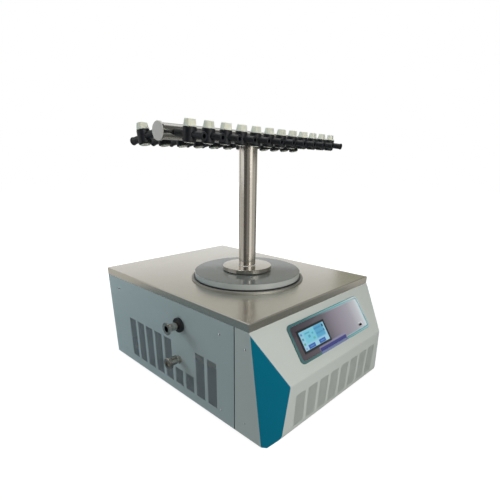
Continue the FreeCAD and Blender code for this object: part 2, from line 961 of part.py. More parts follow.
def end_rim(x):
    """Wide ring that is welded round one end of the manifold."""
    ring = rod(manifold_radius + end_rim_margin, V(x, 0, 0), end_rim_length, X)
    return ring.makeChamfer(end_rim_bevel, [e for e in ring.Edges if e.Curve.TypeId == "Part::GeomCircle"])


def manifold_tube():
    """Closed tube with a ring round each end and a stub welded in at every port."""
    length = manifold_left + manifold_right
    tube = rod(manifold_radius, V(-manifold_left, 0, 0), length, X)
    bores = [rod(manifold_radius - manifold_wall, V(end_wall - manifold_left, 0, 0), length - 2 * end_wall, X)]
    stubs = []
    for along, side in port_places():
        local = manifold_frame().inverse().multiply(port_frame(along, side))
        stub = rod(stub_radius, V(0, 0, 0), manifold_radius + stub_length, Y * -1)
        bore = rod(stub_bore, V(0, 0, 0), manifold_radius + 2 * stub_length, Y * -1)
        stubs.append(placed(stub, local))
        bores.append(placed(bore, local))
    rims = [end_rim(-manifold_left), end_rim(manifold_right - end_rim_length)]
    tube = tube.multiFuse(stubs + rims).cut(bores).removeSplitter()
    return placed(tube, manifold_frame()).cut(gas_way())


# ---- stopcock valves ----
def valve_body():
    """Rubber body: sleeve over the port stub, upright barrel for the plug and outlet nozzle."""
    half = barrel_height / 2
    barrel = rod(barrel_radius, V(0, -valve_reach, -half), barrel_height)
    barrel = barrel.makeFillet(barrel_round, [e for e in barrel.Edges if e.Curve.TypeId == "Part::GeomCircle"])
    sleeve_start = manifold_radius + sleeve_gap
    sleeve = rod(sleeve_radius, V(0, -sleeve_start, 0), valve_reach - sleeve_start, Y * -1)
    nozzle = rod(nozzle_radius, V(0, -valve_reach, 0), nozzle_reach - valve_reach, Y * -1)
    rim_start = nozzle_reach - nozzle_rim_length
    rim = rod(nozzle_rim_radius, V(0, -rim_start, 0), nozzle_rim_length, Y * -1)
    rim = rim.makeFillet(nozzle_rim_round, [e for e in rim.Edges if e.Curve.TypeId == "Part::GeomCircle"])
    body = fused([barrel, sleeve, nozzle, rim])
    stub_hole = rod(stub_radius + rubber_fit, V(0, 0, 0), manifold_radius + stub_length + 1, Y * -1)
    inlet = rod(stub_bore, V(0, 0, 0), valve_reach, Y * -1)
    outlet = rod(plug_hole_radius, V(0, -valve_reach, 0), nozzle_reach - valve_reach, Y * -1)
    socket = rod(nozzle_bore, V(0, nozzle_socket_depth - nozzle_reach, 0), nozzle_socket_depth, Y * -1)
    plug_hole = rod(plug_radius + plug_fit, V(0, -valve_reach, -barrel_height), 2 * barrel_height)
    return body.cut([stub_hole, inlet, outlet, socket, plug_hole])


def valve_plug(turn):
    """Stopcock plug: foot under the barrel, shaft with its cross hole, and finger knob."""
    half = barrel_height / 2
    foot_top = -half - plug_gap
    collar_z = half + plug_gap
    foot = rod(plug_foot_radius, V(0, 0, foot_top - plug_foot_height), plug_foot_height)
    shaft = rod(plug_radius, V(0, 0, foot_top - plug_foot_height / 2), barrel_height + 2 * plug_gap + plug_foot_height)
    shaft = shaft.cut(rod(plug_hole_radius, V(-plug_radius - 1, 0, 0), 2 * plug_radius + 2, X))
    collar = rod(knob_radius, V(0, 0, collar_z), knob_collar_height)
    grip = Part.makeCone(knob_radius, knob_top_radius, knob_height, V(0, 0, collar_z))
    wide = 2 * knob_radius
    knob_z = collar_z + knob_height
    section = [
        V(-wide, -knob_flat, collar_z), V(-wide, knob_flat, collar_z),
        V(-wide, knob_top_flat, knob_z), V(-wide, -knob_top_flat, knob_z),
    ]
    grip = grip.common(prism(section, X * (2 * wide)))
    upper = [e for e in grip.Edges if e.BoundBox.ZMin > knob_z - 0.01]
    grip = grip.makeFillet(knob_round, upper)
    plug = fused([foot, shaft, collar, grip])
    plug.rotate(ORIGIN, Z, turn)
    plug.translate(V(0, -valve_reach, 0))
    return plug


def valve_bodies():
    body = valve_body()
    return [placed(body, port_frame(along, side)) for along, side in port_places()]


def valve_plugs():
    turns = front_knob_turns + rear_knob_turns
    rows = ["front"] * port_count + ["rear"] * port_count
    plugs = {}
    for i, (along, side) in enumerate(port_places()):
        name = "%s_valve_plug_%02d" % (rows[i], i % port_count + 1)
        plugs[name] = placed(valve_plug(turns[i % len(turns)]), port_frame(along, side))
    return plugs


# ---- side ports ----
def vacuum_port():
    start = trap_wall_point(vacuum_port_y, vacuum_z)
    end_x = -half_width - port_reach
    tube = pipe_wall(port_tube_radius, port_tube_bore, V(end_x, vacuum_port_y, vacuum_z), start.x - end_x, X)
    flange = lathe([
        (port_tube_bore, 0), (port_flange_radius, 0), (port_flange_radius, port_flange_thickness / 2),
        (port_tube_radius, port_flange_thickness), (port_tube_bore, port_flange_thickness),
    ])
    flange.rotate(ORIGIN, Y, 90)
    flange.translate(V(end_x, vacuum_port_y, vacuum_z))
    return tube.fuse(flange).removeSplitter()


def port_grommet():
    inner = port_tube_radius + fit_gap
    profile = [
        (inner, -grommet_thickness), (grommet_radius - grommet_bevel, -grommet_thickness),
        (grommet_radius, grommet_bevel - grommet_thickness), (grommet_radius, 0), (grommet_neck, 0),
        (grommet_neck, sheet), (grommet_inner_radius, sheet),
        (grommet_inner_radius, sheet + grommet_inner_thickness), (inner, sheet + grommet_inner_thickness),
    ]
    ring = lathe(profile)
    ring.rotate(ORIGIN, Y, 90)
    ring.translate(V(-half_width, vacuum_port_y, vacuum_z))
    return ring


def drain_block_x():
    """Inner face of the drain valve's block."""
    return -half_width - drain_nut_thickness


def hexagon(radius, length, start):
    corners = []
    for i in range(6):
        angle = math.radians(60 * i)
        corners.append(start + V(0, radius * math.cos(angle), radius * math.sin(angle)))
    return prism(corners, X * length)


def drain_valve():
    """Ball-valve block on the drain tube: nut against the panel and a wide outlet collar."""
    x1 = drain_block_x()
    block_start = V(x1 - valve_block_length, drain_port_y, drain_z)
    block = rod(valve_block_radius, block_start, valve_block_length, X)
    outlet_start = V(x1 - valve_block_length - drain_outlet_length, drain_port_y, drain_z)
    outlet = rod(drain_outlet_radius, outlet_start, drain_outlet_length, X)
    outlet = outlet.makeFillet(drain_outlet_round, [e for e in outlet.Edges if e.Curve.TypeId == "Part::GeomCircle"])
    flat = box(x1 - valve_block_length, x1, drain_port_y - lever_hub_radius, drain_port_y + lever_hub_radius,
               drain_z, drain_z + valve_block_radius)
    nut = hexagon(drain_nut_radius, drain_nut_thickness, V(x1, drain_port_y, drain_z))
    nut = nut.cut(rod(drain_tube_radius + plug_fit, V(x1, drain_port_y, drain_z), drain_nut_thickness, X))
    body = fused([block, outlet, flat, nut])
    body = body.cut(rod(drain_tube_bore, outlet_start, valve_block_length + drain_outlet_length, X))
    body = body.cut(rod(drain_mouth_radius, outlet_start, drain_mouth_depth, X))
    x, y, z = lever_pivot()
    stem = rod(lever_stem_radius + plug_fit, V(x, y, z - lever_stem_depth), lever_stem_depth + 1)
    return body.cut(stem)


def lever_pivot():
    return (drain_block_x() - valve_block_length / 2, drain_port_y, drain_z + valve_block_radius)


def drain_lever():
    """Wing handle on a stem that turns the ball."""
    x, y, z = lever_pivot()
    base = z + fit_gap
    stem = rod(lever_stem_radius, V(x, y, z - lever_stem_depth + fit_gap), lever_stem_depth + lever_height / 2)
    hub = rod(lever_hub_radius, V(x, y, base), lever_height / 3)
    half = lever_length / 2
    wing = box(x - half, x + half, y - lever_width / 2, y + lever_width / 2, base, base + lever_height)
    wing = wing.makeFillet(lever_width / 2.2, edges_along(wing, Z, lambda m: True))
    return fused([stem, hub, wing])


# ---- refrigeration ----
def compressor():
    """Hermetic shell with a foot plate."""
    r = compressor_radius
    base = pan_top + compressor_leg
    centre = V(compressor_x, compressor_y, base)
    shell = rod(r, centre, compressor_height)
    rims = [e for e in shell.Edges if e.Curve.TypeId == "Part::GeomCircle"]
    shell = shell.makeFillet(r / 3, rims)
    half = compressor_foot_span / 2
    plate = box(compressor_x - half, compressor_x + half, compressor_y - half, compressor_y + half,
                base, base + compressor_foot_thickness)
    seam_ring = rod(r + compressor_seam_reach, centre + Z * (compressor_height / 2), compressor_seam_height)
    return fused([shell, plate, seam_ring])


def compressor_grommets():
    offset = compressor_foot_span / 2 - grommet_foot_radius
    feet = []
    for sx in (-1, 1):
        for sy in (-1, 1):
            start = V(compressor_x + sx * offset, compressor_y + sy * offset, pan_top)
            feet.append(rod(grommet_foot_radius, start, compressor_leg))
    return feet


def condenser_box():
    """Corners of the condenser core: x0, x1, y0, y1, z0, z1."""
    x0 = -half_width + condenser_inset
    y0 = condenser_y - condenser_length / 2
    z0 = floor + condenser_lift
    return x0, x0 + condenser_depth, y0, y0 + condenser_length, z0, z0 + condenser_height


def condenser_core():
    """Finned core between two headers, on two legs, with tube ends at its rear header."""
    x0, x1, y0, y1, z0, z1 = condenser_box()
    pieces = [
        box(x0, x1, y0, y0 + header_thickness, z0, z1),
        box(x0, x1, y1 - header_thickness, y1, z0, z1),
    ]
    middle = (x0 + x1) / 2
    for i in range(condenser_rows):
        z = z0 + (i + 0.5) * condenser_height / condenser_rows
        pieces.append(rod(line_radius, V(middle, y0, z), condenser_length, Y))
    for i in range(fin_count):
        y = y0 + (i + 1) * condenser_length / (fin_count + 1)
        pieces.append(box(x0, x1, y - fin_thickness / 2, y + fin_thickness / 2, z0 + fin_inset, z1 - fin_inset))
    for y in (y0, y1 - condenser_leg_width):
        pieces.append(box(x0, x1, y, y + condenser_leg_width, pan_top, z0 + fin_inset))
    return pieces[0].multiFuse(pieces[1:]).removeSplitter()


def condenser_stub(height):
    x0, x1, y0, y1, z0, z1 = condenser_box()
    return V((x0 + x1) / 2, y1, floor + height)


def filter_drier():
    z = floor + low_line_height
    r = drier_radius
    profile = [(0, 0), (line_radius, 0), (r, r), (r, drier_length - r), (line_radius, drier_length), (0, drier_length)]
    drier = lathe(profile)
    drier.rotate(ORIGIN, Y, 90)
    drier.translate(V(drier_x - drier_length / 2, drier_y, z))
    return drier


def refrigerant_lines():
    """Discharge, liquid, capillary and suction lines."""
    hot = condenser_stub(high_line_height)
    cool = condenser_stub(low_line_height)
    shell_left = compressor_x - compressor_radius
    discharge = copper_line([V(shell_left, compressor_y, hot.z), V(hot.x, compressor_y, hot.z), hot], line_radius)
    drier_end = V(drier_x - drier_length / 2, drier_y, cool.z)
    liquid = copper_line([cool, V(cool.x, drier_y, cool.z), drier_end], line_radius)
    low = coil_heights()[0]
    stub_y = coil_stub_end()
    capillary = copper_line([
        V(drier_x + drier_length / 2, drier_y, cool.z), V(0, drier_y, cool.z), V(0, drier_y, low), V(0, stub_y, low),
    ], capillary_radius)
    high = coil_heights()[1]
    shell_front = compressor_y - compressor_radius
    suction = rod(line_radius, V(compressor_x, suction_start(), high), shell_front - suction_start(), Y)
    return [discharge, liquid, capillary, suction]


def fan_centre():
    """Centre of the fan's face against the condenser core."""
    return V(condenser_box()[1], condenser_y, floor + fan_height)


def fan_frame():
    """Square shroud with a hub on four struts at its inner side."""
    c = fan_centre()
    half = fan_size / 2
    frame = box(c.x, c.x + fan_depth, c.y - half, c.y + half, c.z - half, c.z + half)
    frame = frame.makeFillet(fan_corner, edges_along(frame, X, lambda m: True))
    frame = frame.cut(rod(half - fan_wall, c - X, fan_depth + 2, X))
    hub_x = c.x + fan_depth - fan_strut_depth
    struts = []
    width = fan_strut_width / 2
    reach = half - fan_wall / 2
    struts.append(box(hub_x, hub_x + fan_strut_depth, c.y - width, c.y + width, c.z - reach, c.z + reach))
    struts.append(box(hub_x, hub_x + fan_strut_depth, c.y - reach, c.y + reach, c.z - width, c.z + width))
    hub = rod(fan_hub_radius, V(hub_x, c.y, c.z), fan_strut_depth, X)
    boss = rod(fan_hub_radius / 2, V(hub_x - fan_shaft_length, c.y, c.z), fan_shaft_length, X)
    frame = fused([frame, hub, boss] + struts)
    return frame.cut(rod(fan_shaft_radius + fan_shaft_fit, V(hub_x - fan_depth, c.y, c.z), 2 * fan_depth, X))


def fan_rotor():
    c = fan_centre()
    hub_x = c.x + fan_depth - fan_strut_depth - fan_hub_gap
    start = V(hub_x - fan_hub_depth, c.y, c.z)
    hub = rod(fan_hub_radius, start, fan_hub_depth, X)
    pocket_start = V(hub_x - fan_shaft_length, c.y, c.z)
    hub = hub.cut(rod(fan_hub_radius / 2 + fan_hub_gap, pocket_start, fan_hub_depth, X))
    shaft = rod(fan_shaft_radius, start, fan_hub_depth + fan_strut_depth, X)
    tip = fan_size / 2 - fan_wall - blade_tip_gap
    pieces = [hub, shaft]
    for i in range(blade_count):
        blade = box(-blade_thickness / 2, blade_thickness / 2, -blade_chord / 2, blade_chord / 2,
                    fan_hub_radius - blade_root_sink, tip)
        blade.rotate(ORIGIN, Z, blade_pitch_angle)
        blade.translate(V(hub_x - fan_hub_depth / 2 - blade_shift, 0, 0))
        blade.rotate(ORIGIN, X, 360.0 * i / blade_count)
        blade.translate(V(0, c.y, c.z))
        pieces.append(blade)
    return fused(pieces).common(rod(tip, V(c.x, c.y, c.z), 2 * fan_depth, X))


# ---- mains ----
def power_supply():
    x, y = supply_x, supply_y
    half_w = supply_width / 2
    half_l = supply_length / 2
    box_body = box(x - half_w, x + half_w, y - half_l, y + half_l, pan_top, pan_top + supply_height)
    return box_body.makeFillet(supply_round, box_body.Edges)


def inlet_body(gap):
    """The part of the inlet module that passes through the rear panel."""
    half_w = inlet_body_width / 2 + gap
    half_t = inlet_body_tall / 2 + gap
    z = floor + inlet_height
    return box(inlet_x - half_w, inlet_x + half_w, rear - inlet_depth, rear, z - half_t, z + half_t)


def power_inlet():
    """Inlet socket and switch housing in one moulding."""
    z = floor + inlet_height
    plate = box(inlet_x - inlet_width / 2, inlet_x + inlet_width / 2, rear, rear + inlet_flange,
                z - inlet_tall / 2, z + inlet_tall / 2)
    plate = plate.makeFillet(inlet_corner, edges_along(plate, Y, lambda m: True))
    body = plate.fuse(inlet_body(0)).removeSplitter()
    face = rear + inlet_flange
    sx = inlet_x + socket_shift
    socket = box(sx - socket_width / 2, sx + socket_width / 2, face - socket_depth, face + 1,
                 z - socket_tall / 2, z + socket_tall / 2)
    body = body.cut(socket)
    for dx, dz in ((-pin_spread, -pin_drop), (pin_spread, -pin_drop), (0, earth_pin_rise)):
        pin_x = sx + dx
        pin_z = z + dz
        pin = box(pin_x - pin_width / 2, pin_x + pin_width / 2, face - socket_depth - pin_root,
                  face - socket_depth + pin_length, pin_z - pin_tall / 2, pin_z + pin_tall / 2)
        body = body.fuse(pin)
    x = inlet_x + rocker_shift
    half_w = rocker_width / 2 + rocker_gap
    half_t = rocker_tall / 2 + rocker_gap
    well = box(x - half_w, x + half_w, face - rocker_well_depth, face + 1, z - half_t, z + half_t)
    body = body.cut(well)
    reach = rocker_width / 2 + rocker_axle_reach + rocker_axle_end_gap
    axle = rod(rocker_pivot_radius + rocker_pivot_fit, V(x - reach, rocker_pivot_y(), z), 2 * reach, X)
    return body.cut(axle)


def rocker_pivot_y():
    return rear + inlet_flange - rocker_pivot_sink


def switch_rocker():
    """Rocker with a shallow V face, tipped to its off side, on a cross pin."""
    z = floor + inlet_height
    x = inlet_x + rocker_shift
    y = rocker_pivot_y()
    half = rocker_tall / 2 - rocker_gap
    rise = rocker_face_rise
    waist = rocker_waist
    side = [
        V(0, -waist, -half * 0.8), V(0, waist, -half), V(0, rise, -half * 0.7), V(0, waist, 0),
        V(0, rise, half * 0.7), V(0, waist, half), V(0, -waist, half * 0.8), V(0, -2 * waist, 0),
    ]
    body = prism(side, X * rocker_width)
    body.translate(V(-rocker_width / 2, 0, 0))
    reach = rocker_width / 2 + rocker_axle_reach
    pin = rod(rocker_pivot_radius, V(-reach, 0, 0), 2 * reach, X)
    body = body.fuse(pin).removeSplitter()
    body.rotate(ORIGIN, X, rocker_angle / 2)
    body.translate(V(x, y, z))
    return body


# ---- write one STEP file for each piece ----
def pieces():
    made = {
        "base_pan": base_pan(),
        "rubber_feet": rubber_feet(),
        "left_side_panel": left_side_panel(),
        "right_side_panel": right_side_panel(),
        "rear_panel": rear_panel(),
        "steel_top": steel_top(),
        "front_cover": front_cover(),
        "cheek_plates": [cheek(-1), cheek(1)],
        "panel_screws": panel_screws(),
        "control_panel_frame": panel_frame(),
        "control_panel_fascia": panel_fascia(),
        "display_bezel": display_bezel(),
        "touch_screen": touch_screen(),
        "control_board": control_board(),
        "usb_port": usb_port(),
        "cold_trap": cold_trap(),
        "evaporator_coil": evaporator_coil(),
        "trap_insulation": trap_insulation(),
        "lid_gasket": lid_gasket(),
        "lid_disc": lid_disc(),
        "flange_gasket": flange_gasket(),
        "riser": riser(),
        "manifold_tube": manifold_tube(),
        "valve_bodies": valve_bodies(),
        "vacuum_port": vacuum_port(),
        "port_grommet": port_grommet(),
        "drain_valve": drain_valve(),
        "drain_lever": drain_lever(),
        "compressor": [compressor()] + compressor_grommets(),
        "condenser_core": condenser_core(),
        "refrigerant_lines": refrigerant_lines() + [filter_drier()],
        "fan_frame": fan_frame(),
        "fan_rotor": fan_rotor(),
        "power_supply": power_supply(),
        "power_inlet": power_inlet(),
        "switch_rocker": switch_rocker(),
    }
    made.update(valve_plugs())
    return made


def main():
    os.makedirs("parts", exist_ok=True)
    for name, shape in pieces().items():
        if isinstance(shape, list):
            shape = Part.Compound(shape)
        shape.exportStep("parts/%s.step" % name)


main()
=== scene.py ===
# %% [markdown]
# # A benchtop freeze dryer, dressed
# The metal, rubber and plastic of the machine arrive as plain solids in one shared frame.
# This lesson gives every surface the finish that the real one has, and builds the things
# that repeat - perforations, screws, weld scales - with Geometry Nodes.
# Lengths are written in millimetres and turned into metres where they are used.

# %% Load the solids
import itertools
import math

import bmesh
import bpy
from mathutils import Matrix, Vector


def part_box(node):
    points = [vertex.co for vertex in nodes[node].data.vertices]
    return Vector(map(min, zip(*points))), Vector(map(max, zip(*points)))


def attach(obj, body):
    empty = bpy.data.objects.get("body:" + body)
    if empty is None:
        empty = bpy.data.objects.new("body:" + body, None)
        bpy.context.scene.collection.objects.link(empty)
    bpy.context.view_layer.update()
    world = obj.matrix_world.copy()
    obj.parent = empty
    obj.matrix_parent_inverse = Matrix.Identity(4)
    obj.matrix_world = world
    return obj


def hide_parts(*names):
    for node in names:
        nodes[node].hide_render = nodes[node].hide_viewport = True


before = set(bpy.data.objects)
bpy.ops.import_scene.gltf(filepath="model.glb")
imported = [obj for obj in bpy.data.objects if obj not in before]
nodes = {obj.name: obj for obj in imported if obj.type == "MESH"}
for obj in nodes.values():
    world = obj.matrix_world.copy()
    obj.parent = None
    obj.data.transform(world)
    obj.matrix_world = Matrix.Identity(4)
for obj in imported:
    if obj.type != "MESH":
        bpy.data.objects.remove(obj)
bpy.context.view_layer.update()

MM = 0.001

# %% [markdown]
# ## The places that everything else is measured from
# The steel top's front edge, the cabinet's floor line and the trap's axis are edges that a
# fitter would measure from too. They are read from the solids, so a piece made here lands
# where the solid's own feature is. The other places are written as distances from these.

# %% Datum edges
top_low, top_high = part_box("steel_top")
panel_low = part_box("left_side_panel")[0]
FRONT = top_low.y
FLOOR = panel_low.z
SIDE_FACE = 240 * MM
# The front's profile: the slope's upper and lower edge, and the foot of the face below it.
BROW = Vector((0, FRONT, top_high.z - 19.5 * MM))
KNEE = Vector((0, FRONT - 78 * MM, FLOOR + 152 * MM))
LIP = Vector((0, FRONT - 74.5 * MM, FLOOR + 28 * MM))
SLOPE = math.atan2(BROW.z - KNEE.z, BROW.y - KNEE.y)


def off_axis(corner):
    """Distance of a corner from the trap's axis."""
    return math.hypot(corner.x, corner.y)


flange_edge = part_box("riser")[1].x - 1.0 * MM
riser_corners = [v.co for v in nodes["riser"].data.vertices]
FLANGE_TOP = max(c.z for c in riser_corners if off_axis(c) > flange_edge)
RISER = max(off_axis(c) for c in riser_corners if c.z > FLANGE_TOP + 100 * MM)
print("front edge %.1f mm, floor line %.1f mm" % (FRONT / MM, FLOOR / MM))
print("slope %.1f degrees, riser radius %.1f mm" % (math.degrees(SLOPE), RISER / MM))

# %% The manifold and the control panel
# The manifold lies level, swivelled about the trap's axis; its ends are measured along it.
END_DISC = 17.6 * MM
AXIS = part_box("manifold_tube")[1].z - END_DISC
SWIVEL = math.radians(5)
RAIL_LEFT, RAIL_RIGHT = -278.3 * MM, 321.0 * MM
# On the slope, across and up from BROW: the panel's middle, half the size of the core inside
# its rounded rim, and the middle of the printed bar.
PANEL_X, PANEL_UP = 11 * MM, -64.5 * MM
CORE_X, CORE_UP = 137 * MM, 34 * MM
BAR_X = -8 * MM
print("manifold axis %.1f mm up, %.1f mm long" % (AXIS / MM, (RAIL_RIGHT - RAIL_LEFT) / MM))

# %% [markdown]
# ## Node graphs as sums
# A shader or a Geometry Nodes tree is quicker to read when it is written as arithmetic.
# `Wire` wraps a socket and overloads the operators, so `1 - mask` adds a Math node.
# `Graph.node` is the single way to add any other node: its type, its settings, its sockets.

# %% Wires and graphs
class Wire:
    """A socket that adds, subtracts, multiplies and divides like a number."""

    def __init__(self, graph, socket):
        self.graph = graph
        self.socket = socket

    def math(self, operation, *values):
        return self.graph.node("ShaderNodeMath", {"operation": operation}, dict(enumerate(values)))

    def __add__(self, other):
        return self.math("ADD", self, other)

    def __sub__(self, other):
        return self.math("SUBTRACT", self, other)

    def __rsub__(self, other):
        return self.math("SUBTRACT", other, self)

    def __mul__(self, other):
        return self.math("MULTIPLY", self, other)

    def __truediv__(self, other):
        return self.math("DIVIDE", self, other)

    def __mod__(self, other):
        return self.math("MODULO", self, other)

    def absolute(self):
        return self.math("ABSOLUTE", self)

    def root(self):
        return self.math("SQRT", self)

    def sine(self):
        return self.math("SINE", self)

    def floor(self):
        return self.math("FLOOR", self)

    def at_least(self, low):
        return self.math("MAXIMUM", self, low)

    def at_most(self, high):
        return self.math("MINIMUM", self, high)

    __radd__ = __add__
    __rmul__ = __mul__


class Graph:
    """A node tree that is filled one call at a time."""

    def __init__(self, tree):
        self.tree = tree

    def mix(self, factor, first, second):
        """A blend of two colours, which go into the Mix node's sockets 6 and 7."""
        sockets = {0: factor, 6: first, 7: second}
        return self.node("ShaderNodeMix", {"data_type": "RGBA"}, sockets, out=2)

    def node(self, kind, settings=None, sockets=None, out=0):
        node = self.tree.nodes.new(kind)
        for key, value in (settings or {}).items():
            if key == "stops":
                self.stops(node.color_ramp.elements, value)
            else:
                setattr(node, key, value)
        for key, value in (sockets or {}).items():
            self.feed(node.inputs[key], value)
        return Wire(self, node.outputs[out])

    def feed(self, socket, value):
        if isinstance(value, Wire):
            self.tree.links.new(value.socket, socket)
        else:
            socket.default_value = value

    def stops(self, elements, stops):
        while len(elements) < len(stops):
            elements.new(0.5)
        for element, (at, colour) in zip(elements, stops):
            element.position = at
            element.color = colour


# %% [markdown]
# ## A finish
# Each finish starts from Principled BSDF. Colours are written as they are seen, 0 to 255, and
# made linear here. The helpers below are the few patterns that all finishes share: noise that
# can be stretched into brushing, a soft mask between two values, a second colour laid over the
# first one where a mask says so, and a bump.

# %% Finish helpers
def seen(red, green, blue):
    """Linear colour of a swatch that is seen as these three values."""
    values = [v / 255 for v in (red, green, blue)]
    linear = [v / 12.92 if v <= 0.04045 else ((v + 0.055) / 1.055) ** 2.4 for v in values]
    return tuple(linear) + (1.0,)


class Finish(Graph):
    """One material. Numbers that are the same everywhere are set on the shader's own sockets."""

    def __init__(self, name, **sockets):
        self.material = bpy.data.materials.new(name)
        self.material.use_nodes = True
        super().__init__(self.material.node_tree)
        self.shader = self.tree.nodes["Principled BSDF"]
        self.place = self.node("ShaderNodeTexCoord", out="Object")
        self.set(**sockets)

    def set(self, **sockets):
        for key, value in sockets.items():
            self.feed(self.shader.inputs[key.replace("_", " ")], value)
        return self

    def now(self, key):
        """What feeds one of the shader's sockets so far."""
        return Wire(self, self.shader.inputs[key].links[0].from_socket)

    def over(self, mask, colour):
        """Lays a colour over what is there, where the mask is 1."""
        return self.set(Base_Color=self.mix(mask, self.now("Base Color"), colour))

    def stretched(self, scale):
        sockets = {0: self.place, 1: scale}
        return self.node("ShaderNodeVectorMath", {"operation": "MULTIPLY"}, sockets)

    def axes(self, place=None):
        """The three numbers of a coordinate, by default the object's own."""
        wire = self.node("ShaderNodeSeparateXYZ", sockets={0: place or self.place})
        return [Wire(self, socket) for socket in wire.socket.node.outputs]

    def noise(self, scale, detail=2.0, rough=0.5, place=None):
        sockets = {"Vector": place or self.place, "Scale": scale, "Detail": detail,
                   "Roughness": rough}
        return self.node("ShaderNodeTexNoise", {"noise_dimensions": "3D"}, sockets)

    def soft(self, value, low, high, to_low=0.0, to_high=1.0):
        """Runs smoothly from one number to another as value goes from low to high."""
        sockets = {"Value": value, "From Min": low, "From Max": high,
                   "To Min": to_low, "To Max": to_high}
        return self.node("ShaderNodeMapRange", {"interpolation_type": "SMOOTHSTEP"}, sockets)

    def widened(self, noise, low=0.0, high=1.0):
        """Noise keeps near its middle; this spreads it from one number to another."""
        return self.soft(noise, 0.3, 0.7, low, high)

    def near(self, distance, full, none):
        """1 up to the distance `full`, 0 from the distance `none` on."""
        return self.soft(distance, full, none, 1.0, 0.0)

    def box_mask(self, u, v, centre_u, centre_v, width, height, blur):
        """1 inside a rectangle, 0 outside, with a soft edge."""
        from_u, from_v = (u - centre_u).absolute(), (v - centre_v).absolute()
        inside_u = self.near(from_u, width / 2 - blur, width / 2 + blur)
        inside_v = self.near(from_v, height / 2 - blur, height / 2 + blur)
        return inside_u * inside_v

    def ramp(self, factor, stops):
        return self.node("ShaderNodeValToRGB", {"stops": stops}, {0: factor})

    def bump(self, height, strength, distance):
        sockets = {"Height": height, "Strength": strength, "Distance": distance}
        self.set(Normal=self.node("ShaderNodeBump", sockets=sockets))
        return self

    def panel_edge(self, across, up):
        """Distance from the panel's inner core: its rim runs from 6 to 12 mm."""
        past_x = ((across - PANEL_X).absolute() - CORE_X).at_least(0.0)
        past_up = ((up - PANEL_UP).absolute() - CORE_UP).at_least(0.0)
        return (past_x * past_x + past_up * past_up).root()

    def moved(self, place, turn):
        """Object coordinates seen from a place, in axes that are turned."""
        sockets = {"Vector": self.place, "Location": place, "Rotation": turn}
        return self.node("ShaderNodeMapping", {"vector_type": "TEXTURE"}, sockets)

    def slope_place(self):
        """Coordinates on the sloping front: x to the right, y up the slope from its upper edge."""
        return self.moved(BROW, (SLOPE, 0, 0))

    def rail_place(self):
        """Coordinates on the manifold: x along it, y and z from its axis."""
        return self.moved((0, 0, AXIS), (0, 0, SWIVEL))


# %% [markdown]
# ## Painted sheet metal
# Powder coat is never one flat colour: it has a faint orange-peel ripple a millimetre or two
# across, slow changes in tone, and a satin shine that varies a little with it. The ripple is
# a bump, so the outline of the sheet stays true.

# %% Paint
def paint(name, colour, shade, roughness, ripple=0.35):
    finish = Finish(name, IOR=1.5)
    clouds = finish.noise(5.0, detail=3.0)
    finish.set(Base_Color=finish.mix(clouds, colour, shade))
    speckle = finish.noise(90.0)
    finish.set(Roughness=finish.widened(speckle, roughness - 0.05, roughness + 0.06))
    peel = finish.noise(750.0, detail=1.0)
    return finish.bump(peel, ripple, 0.08 * MM)


cabinet_grey = paint("cabinet_grey_paint", seen(198, 203, 196), seen(192, 197, 191), 0.46)
# The side and rear panels get a darker, bluer copy of the cabinet grey: painted shade, the cool
# shade that the sides stand in.
shaded_side_grey = paint("side_grey_paint", seen(184, 193, 190), seen(178, 187, 185), 0.46)
shaded_rear_grey = paint("rear_grey_paint", seen(184, 193, 190), seen(178, 187, 185), 0.46)
cheek_teal = paint("cheek_teal_paint", seen(3, 120, 146), seen(2, 113, 138), 0.4, ripple=0.25)
cheek_teal.set(Specular_IOR_Level=0.1)

# %% Painted shade on the paint
# The punched fields lie a little deeper than the sheet's face and are painted darker there: painted
# shade in the recess.
from_middle = shaded_side_grey.axes()[0].absolute()
painted_recess_shade = shaded_side_grey.near(from_middle, SIDE_FACE - 0.35 * MM, SIDE_FACE - 0.15 * MM)
shaded_side_grey.over(painted_recess_shade, seen(160, 166, 169))
# A painted shadow line, with a little dark bare edge, darkens the joint between the side panel and
# the front cover.
SEAM = panel_low.y - 0.6 * MM
for finish in (cabinet_grey, shaded_side_grey):
    from_seam = (finish.axes()[1] - SEAM).absolute()
    finish.over(finish.near(from_seam, 1.1 * MM, 1.7 * MM), seen(46, 54, 56))
print("paints:", [f.material.name for f in (cabinet_grey, shaded_side_grey, shaded_rear_grey, cheek_teal)])

# %% [markdown]
# ## Stainless steel
# The top is brushed from side to side, so its grain is noise squeezed thin across the brush
# direction. Tubes are polished and only carry the faint rings that a lathe or a buffing belt
# leaves. One function makes them all: they differ in colour, gloss and the noise's stretch.

# %% Steel
def steel(name, colour, dark, roughness, spread, grain, strength, fineness=1.0):
    """Steel whose grain is noise stretched by the three factors of grain."""
    finish = Finish(name, Metallic=1.0, IOR=2.5)
    lines = finish.noise(fineness, detail=3.0, rough=0.6, place=finish.stretched(grain))
    smears = finish.noise(6.0, detail=3.0)
    tone = finish.widened(lines) * 0.5 + smears * 0.5
    wear = lines * 0.6 + smears * 0.4
    finish.set(Base_Color=finish.mix(tone, dark, colour),
               Roughness=finish.widened(wear, roughness - spread, roughness + spread))
    return finish.bump(lines, strength, 0.05 * MM)


